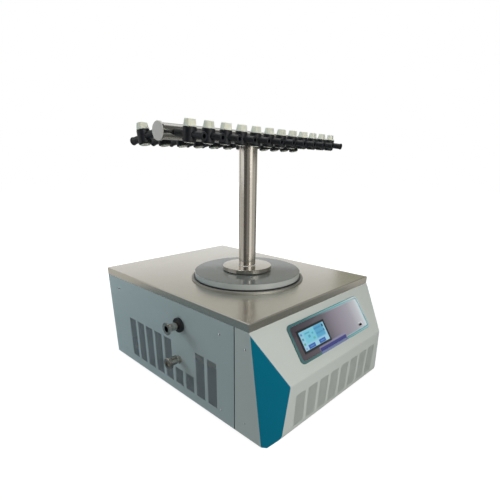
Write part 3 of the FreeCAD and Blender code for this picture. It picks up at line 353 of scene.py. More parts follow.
# Name, light colour, dark colour, roughness, its spread, grain, depth of the grain.
brushed_top = steel("brushed_steel_top", seen(211, 209, 201), seen(201, 198, 189),
                    0.22, 0.03, (14, 700, 700), 0.05)
polished_tube = steel("polished_steel_tube", seen(214, 210, 202), seen(196, 191, 182),
                      0.14, 0.04, (60, 60, 1400), 0.12)
bright_fitting = steel("bright_fittings", seen(236, 232, 224), seen(124, 116, 106),
                       0.07, 0.02, (2500, 700, 700), 0.08, fineness=0.08)
weld_steel = steel("weld_steel", seen(150, 144, 134), seen(104, 96, 86),
                   0.42, 0.06, (300, 300, 300), 0.1)
trap_steel = steel("trap_steel", seen(205, 205, 200), seen(182, 182, 178),
                   0.24, 0.05, (80, 80, 900), 0.15)
screw_steel = steel("screw_steel", seen(190, 188, 180), seen(150, 148, 142),
                    0.3, 0.05, (600, 600, 600), 0.1)
black_screw = steel("blackened_screw", seen(70, 72, 72), seen(44, 46, 46),
                    0.36, 0.05, (600, 600, 600), 0.1)
polished_rail = steel("polished_steel_rail", seen(206, 205, 202), seen(188, 187, 184),
                      0.17, 0.04, (1400, 60, 60), 0.12)
print("steels made")

# %% Duller steel on the collar and the end plates
# The trap's collar stands out of the top round the lid. It is duller than the trap itself, and
# painted darker: painted shade under the lid's rim.
collar = trap_steel.soft(trap_steel.axes()[2], top_high.z - 0.5 * MM, top_high.z)
trap_steel.over(collar, seen(158, 158, 152))
trap_steel.set(Roughness=trap_steel.now("Roughness") + collar * 0.3)

# The manifold's grain runs round it, and its end plates are turned and left matt.
x, y, z = polished_rail.axes(polished_rail.rail_place())
end_left = polished_rail.near(x, RAIL_LEFT + 0.2 * MM, RAIL_LEFT + 0.6 * MM)
end_right = polished_rail.soft(x, RAIL_RIGHT - 0.6 * MM, RAIL_RIGHT - 0.2 * MM)
plate = end_left + end_right
turning = 9000.0  # radians per metre: a ring every 0.7 mm
rings = ((y * y + z * z).root() * turning).sine()
polished_rail.over(plate, seen(206, 201, 195))
polished_rail.set(Metallic=1.0 - plate * 0.55,
                  Roughness=polished_rail.now("Roughness") + plate * (0.4 + rings * 0.03))
print("collar and end plates dulled")

# %% [markdown]
# ## Plastics and rubber
# The lid is a grey disc, smooth enough to mirror the flange that stands on it. Its side wall
# is painted paler, painted light of its lit edge, which the distance from the axis picks out.
# The stopcocks are rubber, nearly black, with a bloom that makes some patches duller. Their
# knobs are milky plastic that lets a little light in, which a small constant subsurface gives.
# The data socket is a dark insert in a paler shell.

# %% Plastics
def plastic(name, colour, shade, roughness, ripple=0.1, **sockets):
    finish = Finish(name, **sockets)
    clouds, speckle = finish.noise(40.0, detail=3.0), finish.noise(220.0)
    finish.set(Base_Color=finish.mix(clouds, colour, shade),
               Roughness=finish.widened(speckle, roughness - 0.05, roughness + 0.05))
    return finish.bump(finish.noise(1100.0, detail=1.0), ripple, 0.06 * MM)


lid_grey = plastic("glossy_grey_lid", seen(120, 123, 118), seen(114, 117, 112), 0.08, 0.01)
moulded_rubber = plastic("moulded_rubber", seen(25, 28, 35), seen(15, 17, 22), 0.4, 0.3,
                         Specular_IOR_Level=0.35)
black_rubber = plastic("black_rubber", seen(25, 28, 34), seen(16, 18, 22), 0.42, 0.3,
                       Specular_IOR_Level=0.4)
milky_knob = plastic("milky_knob_plastic", seen(238, 238, 222), seen(230, 230, 212), 0.38, 0.08,
                     Subsurface_Weight=0.35, Subsurface_Scale=0.004,
                     Subsurface_Radius=(1.0, 0.9, 0.7))
black_plastic = plastic("black_plastic", seen(26, 32, 36), seen(20, 25, 29), 0.38, 0.35)
rim_teal = plastic("rim_teal_plastic", seen(96, 170, 174), seen(88, 160, 165), 0.2, 0.04,
                   Coat_Weight=0.6, Coat_Roughness=0.05)
dark_socket = plastic("dark_socket_plastic", seen(40, 42, 46), seen(40, 42, 46), 0.4)
print("plastics made")

# %% Painted light on the lid's rim, paler shell
lid_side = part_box("lid_disc")[1].x
x, y, _ = lid_grey.axes()
# The lid's side wall is painted paler: painted light of its lit edge.
edge = lid_grey.soft((x * x + y * y).root(), lid_side - 0.7 * MM, lid_side - 0.3 * MM)
lid_grey.over(edge, seen(176, 180, 176))

across, up, _ = dark_socket.axes(dark_socket.slope_place())
insert = dark_socket.box_mask(
    across, up, 122 * MM, -93.5 * MM, 12.4 * MM, 5.4 * MM, blur=0.3 * MM)
dark_socket.over(1.0 - insert, seen(176, 178, 182))
print("lid radius %.1f mm" % (lid_side / MM))

# %% Mould ridge
# A moulded body shows where its mould parted: a fine ridge in the plane through all nozzles.
# The front row droops by 7.3 degrees and the rear row by 9.3, each in its own plane.
ridge = 0.0
x, y, z = moulded_rubber.axes(moulded_rubber.rail_place())
for droop, side in ((7.3, -1), (9.3, 1)):
    lean = math.radians(droop) * side
    from_plane = (z * math.cos(lean) + y * math.sin(lean)).absolute()
    on_side = moulded_rubber.soft(y * side, 10 * MM, 16 * MM)
    ridge = on_side * moulded_rubber.near(from_plane, 0.15 * MM, 0.5 * MM) + ridge
grain = moulded_rubber.noise(1100.0, detail=1.0)
moulded_rubber.bump(ridge + grain * 0.12, 0.6, 0.3 * MM)
print("mould ridge drawn")

# %% [markdown]
# ## The control panel's film
# A printed film lies inside the teal rim: charcoal round the display, running through a dusky
# violet to pale silver at the right, with a plain indigo bar under the display. The bar runs
# over the rim too, whose teal goes from deep to pale: painted shade and light of its rounded
# profile. Film and rim are flat under gloss, so only their colour changes, measured along the
# slope.

# %% Printed film
film = Finish("control_panel_film", Roughness=0.2, Coat_Weight=0.6, Coat_Roughness=0.04)
across, up, _ = film.axes(film.slope_place())
film_left, film_width = -132 * MM, 284 * MM
film.set(Base_Color=film.ramp((across - film_left) / film_width, [
    (0.0, seen(66, 58, 66)), (0.42, seen(92, 88, 100)), (0.58, seen(139, 131, 145)),
    (0.82, seen(172, 168, 180)), (0.94, seen(206, 208, 216)), (1.0, seen(226, 238, 242))]))
# A painted highlight: a pale bluish band along the film's edge inside the rim, stronger towards the
# right.
painted_edge_highlight = film.soft(film.panel_edge(across, up), 2.2 * MM, 4.6 * MM)
to_right = film.soft(across, -40 * MM, 90 * MM, 0.0, 0.85)
film.over(painted_edge_highlight * to_right, seen(168, 210, 216))
# A halo round the bar, a painted highlight round the socket, and the bar itself.
for centre_x, centre_up, width, height, blur, amount, colour in (
        (BAR_X, -98.6 * MM, 113 * MM, 14 * MM, 1.2 * MM, 0.6, seen(150, 148, 190)),
        (124.5 * MM, -92 * MM, 19 * MM, 10 * MM, 1.2 * MM, 0.6, seen(240, 240, 244)),
        (BAR_X, -100.6 * MM, 110 * MM, 8.6 * MM, 0.9 * MM, 1.0, seen(38, 46, 128))):
    patch = film.box_mask(across, up, centre_x, centre_up, width, height, blur)
    film.over(patch * amount, colour)
film.bump(film.noise(1500.0, detail=1.0), 0.03, 0.05 * MM)
print("film printed")

# %% Rim with painted shade and light
# Deep teal at the left and bottom, pale at the right and top: painted shade and light, as
# the rounded rim would be lit. A darker line runs along both edges, and a slate patch where
# the bar runs over it.
across, up, _ = rim_teal.axes(rim_teal.slope_place())
from_core = rim_teal.panel_edge(across, up)
rim_left, rim_width, rim_slant = -138 * MM, 298 * MM, 420 * MM
painted_light_along_rim = (across - rim_left) / rim_width + (up - PANEL_UP) / rim_slant
rim_teal.set(Base_Color=rim_teal.ramp(painted_light_along_rim, [
    (0.0, seen(52, 102, 104)), (0.3, seen(74, 120, 122)), (0.5, seen(108, 160, 166)),
    (0.8, seen(134, 196, 202)), (0.93, seen(178, 212, 217)), (1.0, seen(204, 222, 225))]))
outer_line = rim_teal.soft(from_core, 10.2 * MM, 11.0 * MM)
rim_teal.over(outer_line * 0.55, seen(60, 108, 108))
inner_line = rim_teal.near(from_core, 6.6 * MM, 7.6 * MM)
rim_teal.over(inner_line * 0.35, seen(60, 92, 100))
bar = rim_teal.box_mask(across, up, BAR_X, -107 * MM, 113 * MM, 9 * MM, blur=1.0 * MM)
rim_teal.over(bar, seen(106, 122, 164))
print("rim printed")

# %% [markdown]
# ## The display
# The touch screen is lit from behind, so its picture goes to Emission Color with a constant
# strength, and a dark glossy base keeps the reflections. The picture is generic: two buttons,
# rows of short bars for readings and a column of marks, all of them rectangles with soft edges.

# %% Display picture
screen = Finish("lit_display", Roughness=0.12, Emission_Strength=0.8,
                Coat_Weight=0.5, Coat_Roughness=0.04)
across, up, _ = screen.axes(screen.slope_place())
foot, tall = -92 * MM, 50 * MM
picture = screen.ramp((up - foot) / tall, [(0.0, seen(166, 218, 244)), (1.0, seen(140, 208, 234))])
# Middle across and up the slope, width, height and blur in millimetres, and the colour.
marks = [
    (-76, -60, 42, 28, 3.0, seen(118, 208, 230)), (-39, -58, 34, 30, 3.0, seen(78, 172, 214)),
    (-84, -81.8, 25, 9.5, 1.1, seen(20, 92, 176)), (-43.5, -81.8, 25, 9.5, 1.1, seen(20, 92, 176)),
    (-84, -81.8, 15, 2.6, 0.8, seen(86, 142, 212)),
    (-43.5, -81.8, 15, 2.6, 0.8, seen(86, 142, 212)),
    (-105, -50, 6, 5, 0.9, seen(92, 140, 190)), (-105, -61, 6, 5, 0.9, seen(72, 150, 170)),
    (-105, -72.5, 6, 5, 0.9, seen(96, 176, 150)), (-105, -83, 5, 4, 0.9, seen(140, 160, 205)),
    (-84, -51, 18, 3.0, 1.0, seen(84, 168, 196)), (-80, -60, 8, 6, 1.4, seen(80, 164, 196)),
    (-66, -56, 6, 4, 1.2, seen(80, 168, 200)), (-66, -68, 8, 5, 1.4, seen(100, 184, 180)),
    (-44, -50, 26, 4.0, 1.4, seen(60, 144, 196)), (-41, -62, 26, 4.0, 1.4, seen(64, 150, 198)),
    (-23.3, -50, 6, 6, 1.0, seen(24, 62, 84)), (-23.3, -61, 4, 5, 0.9, seen(40, 90, 130)),
]
for *sizes, colour in marks:
    mask = screen.box_mask(across, up, *[size * MM for size in sizes])
    picture = screen.mix(mask, picture, colour)
screen.set(Emission_Color=picture, Base_Color=seen(16, 22, 26))
print("display marks:", len(marks))

# %% [markdown]
# ## What sits inside
# Behind the sheets are a zinc-plated pan, copper pipe with heat stains, pale foam round the
# trap, a black enamelled compressor and thin aluminium fins. They show only through the
# perforations and the rear, but a part that is opened up shows all of them.

# %% Inner finishes
zinc = steel("zinc_plated_pan", seen(138, 142, 146), seen(108, 113, 118),
             0.42, 0.08, (25, 25, 25), 0.2)
copper = steel("copper_pipe", seen(205, 132, 96), seen(150, 84, 58),
               0.32, 0.08, (40, 40, 40), 0.15)
fins = steel("aluminium_fins", seen(196, 198, 200), seen(165, 168, 172),
             0.36, 0.06, (500, 60, 60), 0.2)
foam = plastic("insulation_foam", seen(228, 212, 160), seen(208, 188, 132), 0.85, 1.0)
enamel = plastic("black_enamel", seen(22, 23, 25), seen(14, 15, 16), 0.22, 0.2,
                 Coat_Weight=0.6, Coat_Roughness=0.08)
board = Finish("circuit_board", Roughness=0.35, Coat_Weight=0.4, Coat_Roughness=0.1)
tracks = board.node("ShaderNodeTexBrick", sockets={
    "Vector": board.slope_place(), "Scale": 180.0, "Color1": seen(20, 92, 52),
    "Color2": seen(18, 84, 48), "Mortar": seen(150, 140, 70)})
board.set(Base_Color=tracks)
print("inner finishes made")

# %% Dress the solids
wardrobe = {
    shaded_side_grey: ["left_side_panel", "right_side_panel"], shaded_rear_grey: ["rear_panel"],
    cabinet_grey: ["front_cover"], cheek_teal: ["cheek_plates"],
    rim_teal: ["control_panel_frame"], film: ["control_panel_fascia"],
    screen: ["touch_screen"], brushed_top: ["steel_top"], polished_tube: ["riser"],
    polished_rail: ["manifold_tube"], bright_fitting: ["vacuum_port", "drain_valve"],
    trap_steel: ["cold_trap"], screw_steel: ["panel_screws", "drain_lever"], lid_grey: ["lid_disc"],
    black_rubber: ["rubber_feet", "lid_gasket", "flange_gasket", "port_grommet"],
    moulded_rubber: ["valve_bodies"],
    black_plastic: ["display_bezel", "fan_frame", "fan_rotor", "power_inlet", "switch_rocker"],
    dark_socket: ["usb_port"], zinc: ["base_pan", "power_supply"],
    copper: ["evaporator_coil", "refrigerant_lines"], foam: ["trap_insulation"],
    enamel: ["compressor"], fins: ["condenser_core"], board: ["control_board"],
    milky_knob: [name for name in nodes if "_valve_plug_" in name],
}
for finish, names in wardrobe.items():
    for name in names:
        for slot in nodes[name].material_slots:
            slot.material = finish.material
bare = set(nodes) - set(sum(wardrobe.values(), []))
print("dressed", sum(map(len, wardrobe.values())), "nodes, without a finish:", sorted(bare))

# %% [markdown]
# ## Geometry Nodes recipes
# A recipe is a Geometry Nodes tree with named inputs for its sizes. `make` runs it once, turns
# the result into a plain mesh and throws the modifier away, so what is left is an ordinary
# piece. Every tree ends in Realize Instances and Set Material. The first cell holds what all
# pieces need: putting a mesh into the scene, and joining several into one.

# %% Objects and joined meshes
def placed(name, data):
    """A mesh, lamp or camera as a new object in the scene."""
    thing = bpy.data.objects.new(name, data)
    bpy.context.scene.collection.objects.link(thing)
    return thing


def joined(name, meshes):
    """Several meshes as one mesh, with the first one's material."""
    shape = bmesh.new()
    for mesh in meshes:
        shape.from_mesh(mesh)
    whole = bpy.data.meshes.new(name)
    shape.to_mesh(whole)
    shape.free()
    if meshes[0].materials:
        whole.materials.append(meshes[0].materials[0])
    return whole


def together(name, pieces):
    """Several pieces as one object."""
    mesh = joined(name, [piece.data for piece in pieces])
    for piece in pieces:
        bpy.data.objects.remove(piece)
    return placed(name, mesh)


def settled_mesh(thing):
    """The plain mesh that an object's modifiers lead to."""
    return bpy.data.meshes.new_from_object(
        thing.evaluated_get(bpy.context.evaluated_depsgraph_get()))


# %% Recipes
class Recipe(Graph):
    """A Geometry Nodes tree whose inputs are named with their default values."""

    kinds = {int: "NodeSocketInt", float: "NodeSocketFloat", tuple: "NodeSocketVector"}

    def __init__(self, name, **inputs):
        super().__init__(bpy.data.node_groups.new(name, "GeometryNodeTree"))
        face = self.tree.interface
        self.keys = {}
        face.new_socket("source", in_out="INPUT", socket_type="NodeSocketGeometry")
        for label, value in inputs.items():
            socket = face.new_socket(label, in_out="INPUT", socket_type=self.kinds[type(value)])
            socket.default_value = value
            self.keys[label] = socket.identifier
        face.new_socket("result", in_out="OUTPUT", socket_type="NodeSocketGeometry")
        self.start = self.tree.nodes.new("NodeGroupInput")

    def __getitem__(self, label):
        return Wire(self, self.start.outputs[label])

    def end(self, geometry, finish):
        """Every recipe ends here: real geometry, in one finish."""
        realised = self.node("GeometryNodeRealizeInstances", sockets={0: geometry})
        sockets = {0: realised, "Material": finish.material}
        painted = self.node("GeometryNodeSetMaterial", sockets=sockets)
        group_end = self.tree.nodes.new("NodeGroupOutput")
        self.feed(group_end.inputs[0], painted)

    def make(self, name, source=None, **values):
        """The recipe's result as a new object with a plain mesh."""
        carrier = placed(name + "_carrier", source or bpy.data.meshes.new(name))
        modifier = carrier.modifiers.new("recipe", "NODES")
        modifier.node_group = self.tree
        for label, value in values.items():
            modifier[self.keys[label]] = value
        mesh = settled_mesh(carrier)
        bpy.data.objects.remove(carrier)
        print(name, "faces:", len(mesh.polygons))
        return placed(name, mesh)

    def combine(self, **values):
        """A vector from its parts X, Y and Z; a part that isn't given is 0."""
        return self.node("ShaderNodeCombineXYZ", sockets=values)

    def part(self, number):
        """One of the three parts of the position of each point."""
        at = self.node("GeometryNodeInputPosition")
        return self.node("ShaderNodeSeparateXYZ", sockets={0: at}, out=number)

    def join(self, *parts):
        """Several geometries as one."""
        whole = self.node("GeometryNodeJoinGeometry")
        for part in parts:
            self.tree.links.new(part.socket, whole.socket.node.inputs[0])
        return whole


# %% [markdown]
# ## Screws with a cross recess
# The sheets are held by small pan-head screws. One head is a flattened ball with its lower half
# taken off and a cross cut into it; the recipe sets a copy on every point it is given and turns
# each a little differently, as a fitter leaves them. The points are the middles of the solid's
# own heads, found by walking through its mesh.

# %% Screw recipe
HEAD = 1.9 * MM
TOUCHING = 0.001 * MM


def cross_head_screws(name, finish):
    """Heads on the vertices of the source, pointing along +Z before the turn."""
    recipe = Recipe(name, radius=3.6 * MM, height=HEAD, slot=0.9 * MM,
                    turn=(0.0, 0.0, 0.0), seed=3)
    radius, height, slot = recipe["radius"], recipe["height"], recipe["slot"]
    ball = recipe.node("GeometryNodeMeshUVSphere", sockets={
        "Segments": 20, "Rings": 10, "Radius": 1.0})
    squeeze = recipe.combine(X=radius, Y=radius, Z=height)
    dome = recipe.node("GeometryNodeTransform", sockets={"Geometry": ball, "Scale": squeeze})
    # What is cut away: the two arms of the cross, and everything below the sheet's face.
    reach, cross_at, base = 1.15, 0.95, 3.0
    tools = [(recipe.combine(X=radius * reach + slot, Y=slot, Z=height), cross_at),
             (recipe.combine(X=slot, Y=radius * reach + slot, Z=height), cross_at),
             (recipe.combine(X=radius * base, Y=radius * base, Z=height * 2.0), -1.0)]
    head = recipe.node("GeometryNodeMeshBoolean", {"operation": "DIFFERENCE", "solver": "EXACT"},
                       {"Mesh 1": dome})
    for size, lift in tools:
        tool = recipe.node("GeometryNodeTransform", sockets={
            "Geometry": recipe.node("GeometryNodeMeshCube", sockets={"Size": size}),
            "Translation": recipe.combine(Z=height * lift)})
        recipe.tree.links.new(tool.socket, head.socket.node.inputs["Mesh 2"])
    heads = recipe.node("GeometryNodeInstanceOnPoints", sockets={
        "Points": recipe["source"], "Instance": head, "Rotation": recipe["turn"]})
    spin = recipe.node("FunctionNodeRandomValue", {"data_type": "FLOAT"},
                       {2: 0.0, 3: math.pi, "Seed": recipe["seed"]}, out=1)
    turned = recipe.node("GeometryNodeRotateInstances", sockets={
        "Instances": heads, "Rotation": recipe.combine(Z=spin), "Local Space": True})
    recipe.end(turned, finish)
    return recipe


def islands(node):
    """The boxes of a solid's separate lumps: lists of (low, high)."""
    shape = bmesh.new()
    shape.from_mesh(nodes[node].data)
    bmesh.ops.remove_doubles(shape, verts=shape.verts, dist=TOUCHING)
    met, boxes = set(), []
    for first in shape.verts:
        if first in met:
            continue
        lump, edge = [], [first]
        met.add(first)
        while edge:
            vertex = edge.pop()
            lump.append(vertex.co.copy())
            for link in vertex.link_edges:
                other = link.other_vert(vertex)
                if other not in met:
                    met.add(other)
                    edge.append(other)
        boxes.append([Vector([limit(c[k] for c in lump) for k in range(3)])
                      for limit in (min, max)])
    shape.free()
    return boxes


def points(name, places):
    """Loose vertices for a recipe to set its copies on."""
    mesh = bpy.data.meshes.new(name)
    mesh.from_pydata(places, [], [])
    return mesh


# %% Screws
screw = cross_head_screws("cross_head_screw", black_screw)
QUARTER = math.radians(90)
groups = {"left": [], "right": [], "rear": []}
turns = {"left": (0, -QUARTER, 0), "right": (0, QUARTER, 0), "rear": (-QUARTER, 0, 0)}
for low, high in islands("panel_screws"):
    middle = (low + high) / 2
    if high.y - low.y < high.x - low.x:
        groups["rear"].append((middle.x, high.y - HEAD, middle.z))
    elif middle.x < 0:
        groups["left"].append((low.x + HEAD, middle.y, middle.z))
    else:
        groups["right"].append((high.x - HEAD, middle.y, middle.z))
heads = [screw.make("screws_" + side, points(side, places), turn=turns[side])
         for side, places in groups.items()]
screws = together("panel_cross_head_screws", heads)
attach(screws, "cabinet")
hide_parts("panel_screws")
print({side: len(places) for side, places in groups.items()})

# %% [markdown]
# ## Welds with scales
# Where the riser meets its flange, and where a plate closes each end of the manifold, a welder
# has laid a row of small overlapping scales. The recipe sets a flat drop on every point of a
# circle; the drops sink a little into both parts, so the row reads as one bead.

# %% Weld recipe
def weld_scales(name, finish):
    """Overlapping drops round a circle in the XY plane."""
    recipe = Recipe(name, ring=23 * MM, drop=1.5 * MM, count=60,
                    place=(0.0, 0.0, 0.0), turn=(0.0, 0.0, 0.0))
    circle = recipe.node("GeometryNodeCurvePrimitiveCircle", sockets={
        "Resolution": recipe["count"], "Radius": recipe["ring"]})
    ball = recipe.node("GeometryNodeMeshUVSphere", sockets={
        "Segments": 8, "Rings": 5, "Radius": recipe["drop"]})
    squash, tilt = (0.62, 1.0, 0.55), (0.0, 0.7, 0.0)
    flat = recipe.node("GeometryNodeTransform", sockets={
        "Geometry": ball, "Scale": squash, "Rotation": tilt})
    facing = recipe.node("GeometryNodeInputTangent")
    turned = recipe.node("FunctionNodeAlignRotationToVector", {"axis": "Y"}, {"Vector": facing})
    drops = recipe.node("GeometryNodeInstanceOnPoints", sockets={
        "Points": circle, "Instance": flat, "Rotation": turned})
    whole = recipe.node("GeometryNodeRealizeInstances", sockets={0: drops})
    moved = recipe.node("GeometryNodeTransform", sockets={
        "Geometry": whole, "Translation": recipe["place"], "Rotation": recipe["turn"]})
    recipe.end(moved, finish)
    return recipe


bead = weld_scales("weld_scales", weld_steel)
rail = Matrix.Rotation(SWIVEL, 4, "Z")
PLATE = 5.5 * MM
beads = [bead.make("riser_weld", ring=RISER + 0.4 * MM, drop=1.3 * MM, count=92,
                   place=(0, 0, FLANGE_TOP + 0.3 * MM))]
for x in (RAIL_LEFT + PLATE, RAIL_RIGHT - PLATE):
    at = rail @ Vector((x, 0, 0)) + Vector((0, 0, AXIS))
    beads.append(bead.make("end_weld", ring=15.4 * MM, drop=1.0 * MM, count=76,
                           place=tuple(at), turn=(0, QUARTER, SWIVEL)))
welds = together("weld_beads", beads)
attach(welds, "cabinet")
print("weld faces:", len(welds.data.polygons))

# %% [markdown]
# ## A perforated field
# Each vent is a field of round holes in rows, every second row shifted by half a step. Drawing
# the outline and all circles as curves and filling them once gives a flat sheet with true
# holes; extruding it gives the sheet's thickness. Cutting the holes one by one, as a punch
# press does, would take a boolean for each.

# %% Perforation recipe
SHEET = 0.6 * MM
RECESS = 0.4 * MM


def perforation(name, finish, sides=10, margin=0.2 * MM, weld=0.005 * MM):
    """Rows of holes in a rectangle that stands on its lower edge, in the XZ plane facing -Y."""
    recipe = Recipe(name, width=34.5 * MM, height=124 * MM, columns=8, rows=33,
                    hole=1.5 * MM, sheet=SHEET)
    width, height, hole = recipe["width"], recipe["height"], recipe["hole"]
    columns, rows = recipe["columns"], recipe["rows"]
    grid = recipe.node("GeometryNodeMeshGrid", sockets={
        "Size X": width - width / columns, "Size Y": height - height / rows,
        "Vertices X": columns, "Vertices Y": rows})
    # Every second row moves by half a step, and a hole that comes too near the edge goes.
    row = ((recipe.part(1) / height + 0.5) * rows).floor()
    shift = recipe.combine(X=row % 2.0 * width / columns * 0.5)
    moved = recipe.node("GeometryNodeSetPosition", sockets={"Geometry": grid, "Offset": shift})
    past = recipe.node("FunctionNodeCompare", {"operation": "GREATER_THAN"},
                       {0: recipe.part(0), 1: width / 2 - hole - margin})
    kept = recipe.node("GeometryNodeDeleteGeometry", sockets={
        "Geometry": moved, "Selection": past})
    circle = recipe.node("GeometryNodeCurvePrimitiveCircle", sockets={
        "Resolution": sides, "Radius": hole})
    holes = recipe.node("GeometryNodeInstanceOnPoints", sockets={
        "Points": kept, "Instance": circle})
    outline = recipe.node("GeometryNodeCurvePrimitiveQuadrilateral", sockets={
        "Width": width, "Height": height})
    curves = recipe.node("GeometryNodeRealizeInstances", sockets={0: recipe.join(outline, holes)})
    flat = recipe.node("GeometryNodeFillCurve", sockets={0: curves})
    solid = recipe.node("GeometryNodeExtrudeMesh", sockets={
        "Mesh": flat, "Offset Scale": recipe["sheet"], "Individual": False})
    back = recipe.node("GeometryNodeFlipFaces", sockets={0: flat})
    welded = recipe.node("GeometryNodeMergeByDistance", sockets={
        "Geometry": recipe.join(solid, back), "Distance": weld})
    upright = recipe.node("GeometryNodeTransform", sockets={
        "Geometry": welded, "Rotation": (QUARTER, 0, 0),
        "Translation": recipe.combine(Z=height / 2)})
    recipe.end(upright, finish)
    return recipe


vent = perforation("perforated_field", cabinet_grey)

# %% [markdown]
# ## Panels with real perforations
# The panel's solid has a shallow recess where each field is. A merged copy of it gets windows
# cut right through at those places, and the perforated fields are set into the windows, so
# light and the dark inside show through the holes.

# %% Panel tools
def merged_copy(name, node):
    """A copy of a solid's mesh with its loose triangles joined up."""
    shape = bmesh.new()
    shape.from_mesh(nodes[node].data)
    bmesh.ops.remove_doubles(shape, verts=shape.verts, dist=TOUCHING)
    bmesh.ops.dissolve_limit(
        shape, angle_limit=math.radians(0.5), verts=shape.verts, edges=shape.edges)
    mesh = bpy.data.meshes.new(name)
    shape.to_mesh(mesh)
    shape.free()
    mesh.materials.append(nodes[node].material_slots[0].material)
    return placed(name, mesh)


def block(low, high, place=Matrix()):
    """A box mesh between two corners, moved by a matrix."""
    corners = [place @ Vector(corner) for corner in itertools.product(*zip(low, high))]
    faces = [(0, 1, 3, 2), (4, 6, 7, 5), (0, 4, 5, 1), (2, 3, 7, 6), (0, 2, 6, 4), (1, 5, 7, 3)]
    mesh = bpy.data.meshes.new("window")
    mesh.from_pydata(corners, [], faces)
    return mesh


def cut_windows(piece, windows):
    """Cuts closed blocks out of a piece and leaves it a plain mesh."""
    cutter = placed("cutter", joined("cutter", windows))
    modifier = piece.modifiers.new("windows", "BOOLEAN")
    modifier.operation, modifier.object, modifier.solver = "DIFFERENCE", cutter, "EXACT"
    mesh = settled_mesh(piece)
    piece.modifiers.clear()
    piece.data = mesh
    bpy.data.objects.remove(cutter)


def perforated(name, node, windows, fields):
    """A panel piece: the solid's copy with windows, and the fields set into them."""
    piece = merged_copy(name, node)
    cut_windows(piece, windows)
    for field in fields:
        for corner in field.data.vertices:
            corner.co = field.matrix_world @ corner.co
    piece.data = joined(name, [piece.data] + [field.data for field in fields])
    for field in fields:
        bpy.data.objects.remove(field)
    piece.data.polygons.foreach_set("use_smooth", [False] * len(piece.data.polygons))
    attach(piece, "cabinet")
    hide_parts(node)
    print(name, "faces:", len(piece.data.polygons))


# %% Side panels
def side_fields(side, short):
    """Windows and fields of one side panel: side is -1 for the left, short lists low fields."""
    # In millimetres: from the front edge to the first field, and the fields' own sizes.
    first, pitch, width, low, high, short_high = 102.5, 45.0, 34.5, 26.0, 150.0, 74.0
    count, row_height, cut = 9, 3.76, 3 * MM
    face = side * SIDE_FACE
    turn = Matrix.Rotation(side * QUARTER, 4, "Z") @ Matrix.Translation((0, SHEET, 0))
    windows, fields = [], []
    for i in range(count):
        start, foot = FRONT + (first + i * pitch) * MM, FLOOR + low * MM
        top = short_high if i in short else high
        windows.append(block((face - cut, start, foot),
                             (face + cut, start + width * MM, FLOOR + top * MM)))
        field = vent.make("field", width=width * MM, height=(top - low) * MM, columns=8,
                          rows=round((top - low) / row_height), hole=1.85 * MM)
        at = Vector((face - side * RECESS, start + width / 2 * MM, foot))
        field.matrix_world = Matrix.Translation(at) @ turn
        fields.append(field)
    return windows, fields


perforated("left_panel_perforated", "left_side_panel", *side_fields(-1, (2, 3)))
perforated("right_panel_perforated", "right_side_panel", *side_fields(1, ()))

# %% Front cover
def front_fields():
    """Windows and perforated fields of the lower front face, which leans a little."""
    # In millimetres: the middle of the row, and the fields' own sizes.
    middle, pitch, width, low, high = 3.2, 45.2, 36.0, 37.5, 120.0
    count, outwards, inwards = 8, 4 * MM, 6 * MM
    run = KNEE - LIP
    lean = Matrix.Rotation(-math.atan2(run.y, run.z), 4, "X")
    foot = LIP + run * ((FLOOR + low * MM - LIP.z) / run.z)
    length = (high - low) * MM * run.length / run.z
    windows, fields = [], []
    for i in range(count):
        x = (middle + (i - (count - 1) / 2) * pitch) * MM
        place = Matrix.Translation((x, foot.y, foot.z)) @ lean
        windows.append(block((-width / 2 * MM, -outwards, 0),
                             (width / 2 * MM, inwards, length), place))
        field = vent.make("field", width=width * MM, height=length, rows=22, columns=9,
                          hole=1.5 * MM)
        field.matrix_world = place @ Matrix.Translation((0, RECESS + SHEET, 0))
        fields.append(field)
    return windows, fields


perforated("front_cover_perforated", "front_cover", *front_fields())

# %% [markdown]
# ## The camera
# A wide lens from the left front, a little above the cabinet, whose view is shifted so that
# the machine stands in the middle of the picture.

# %% Camera
eye = bpy.data.cameras.new("eye")
eye.lens, eye.sensor_width, eye.clip_start = 26.28, 36.0, 0.05
eye.shift_x, eye.shift_y = 0.0252, 0.132
look_down, look_right = 22.51, 44.36
camera = placed("eye", eye)
camera.location = (-0.7175, -0.69495, 0.58594)
camera.rotation_euler = (math.radians(90 - look_down), 0, math.radians(-look_right))
bpy.context.scene.camera = camera
bpy.context.scene.view_settings.view_transform = "Standard"
print("camera looks %.1f degrees down, %.1f mm lens" % (look_down, eye.lens))

# %% [markdown]
# ## Studio
# One soft lamp stands low in front of the machine, in line with its left side, which it only
# grazes, so that side falls into a cool shade. A weak one hangs above, and a bluish one fills
# the shade from the left rear. That last one is hidden from mirror-like rays, because its
# reflection would draw a white line along the folded edge of the steel top.

# %% Lamps
def lamp(name, place, target, size, power, colour):
    """A round soft lamp: where it stands, what it points at, metres across, watts."""
    light = bpy.data.lights.new(name, "AREA")
    light.shape, light.size, light.energy, light.color = "DISK", size, power, colour
    item = placed(name, light)
    item.location = place
    item.rotation_euler = (Vector(target) - Vector(place)).to_track_quat("-Z", "Y").to_euler()
    return item


lamp("key", (-0.35, -1.6, 0.95), (0, -0.3, 0.2), 0.7, 16.5, (1.0, 0.99, 0.965))
lamp("crown", (-0.2, 0.5, 2.6), (0, 0, 0.3), 1.8, 17, (1.0, 0.99, 0.97))
shade_lamp = lamp("shade_side", (-0.95, 1.15, 0.95), (-0.24, 0.2, 0.2), 0.9, 10.5,
                  (0.70, 0.90, 1.0))
shade_lamp.visible_glossy = False
print("lamps:", [light.name for light in bpy.data.lights])

# %% [markdown]
# ## What the steel mirrors
# Polished steel shows its surroundings more than itself. Matt cards that only mirror-like rays
# see stand round the machine: a dim wall to the left, a bright window in front, dimmer ones
# beyond it, a ceiling and two patches of floor. Each wall is a strip of a cylinder, given by
# the angles between which it stands.

# %% Cards for reflections
cards = []


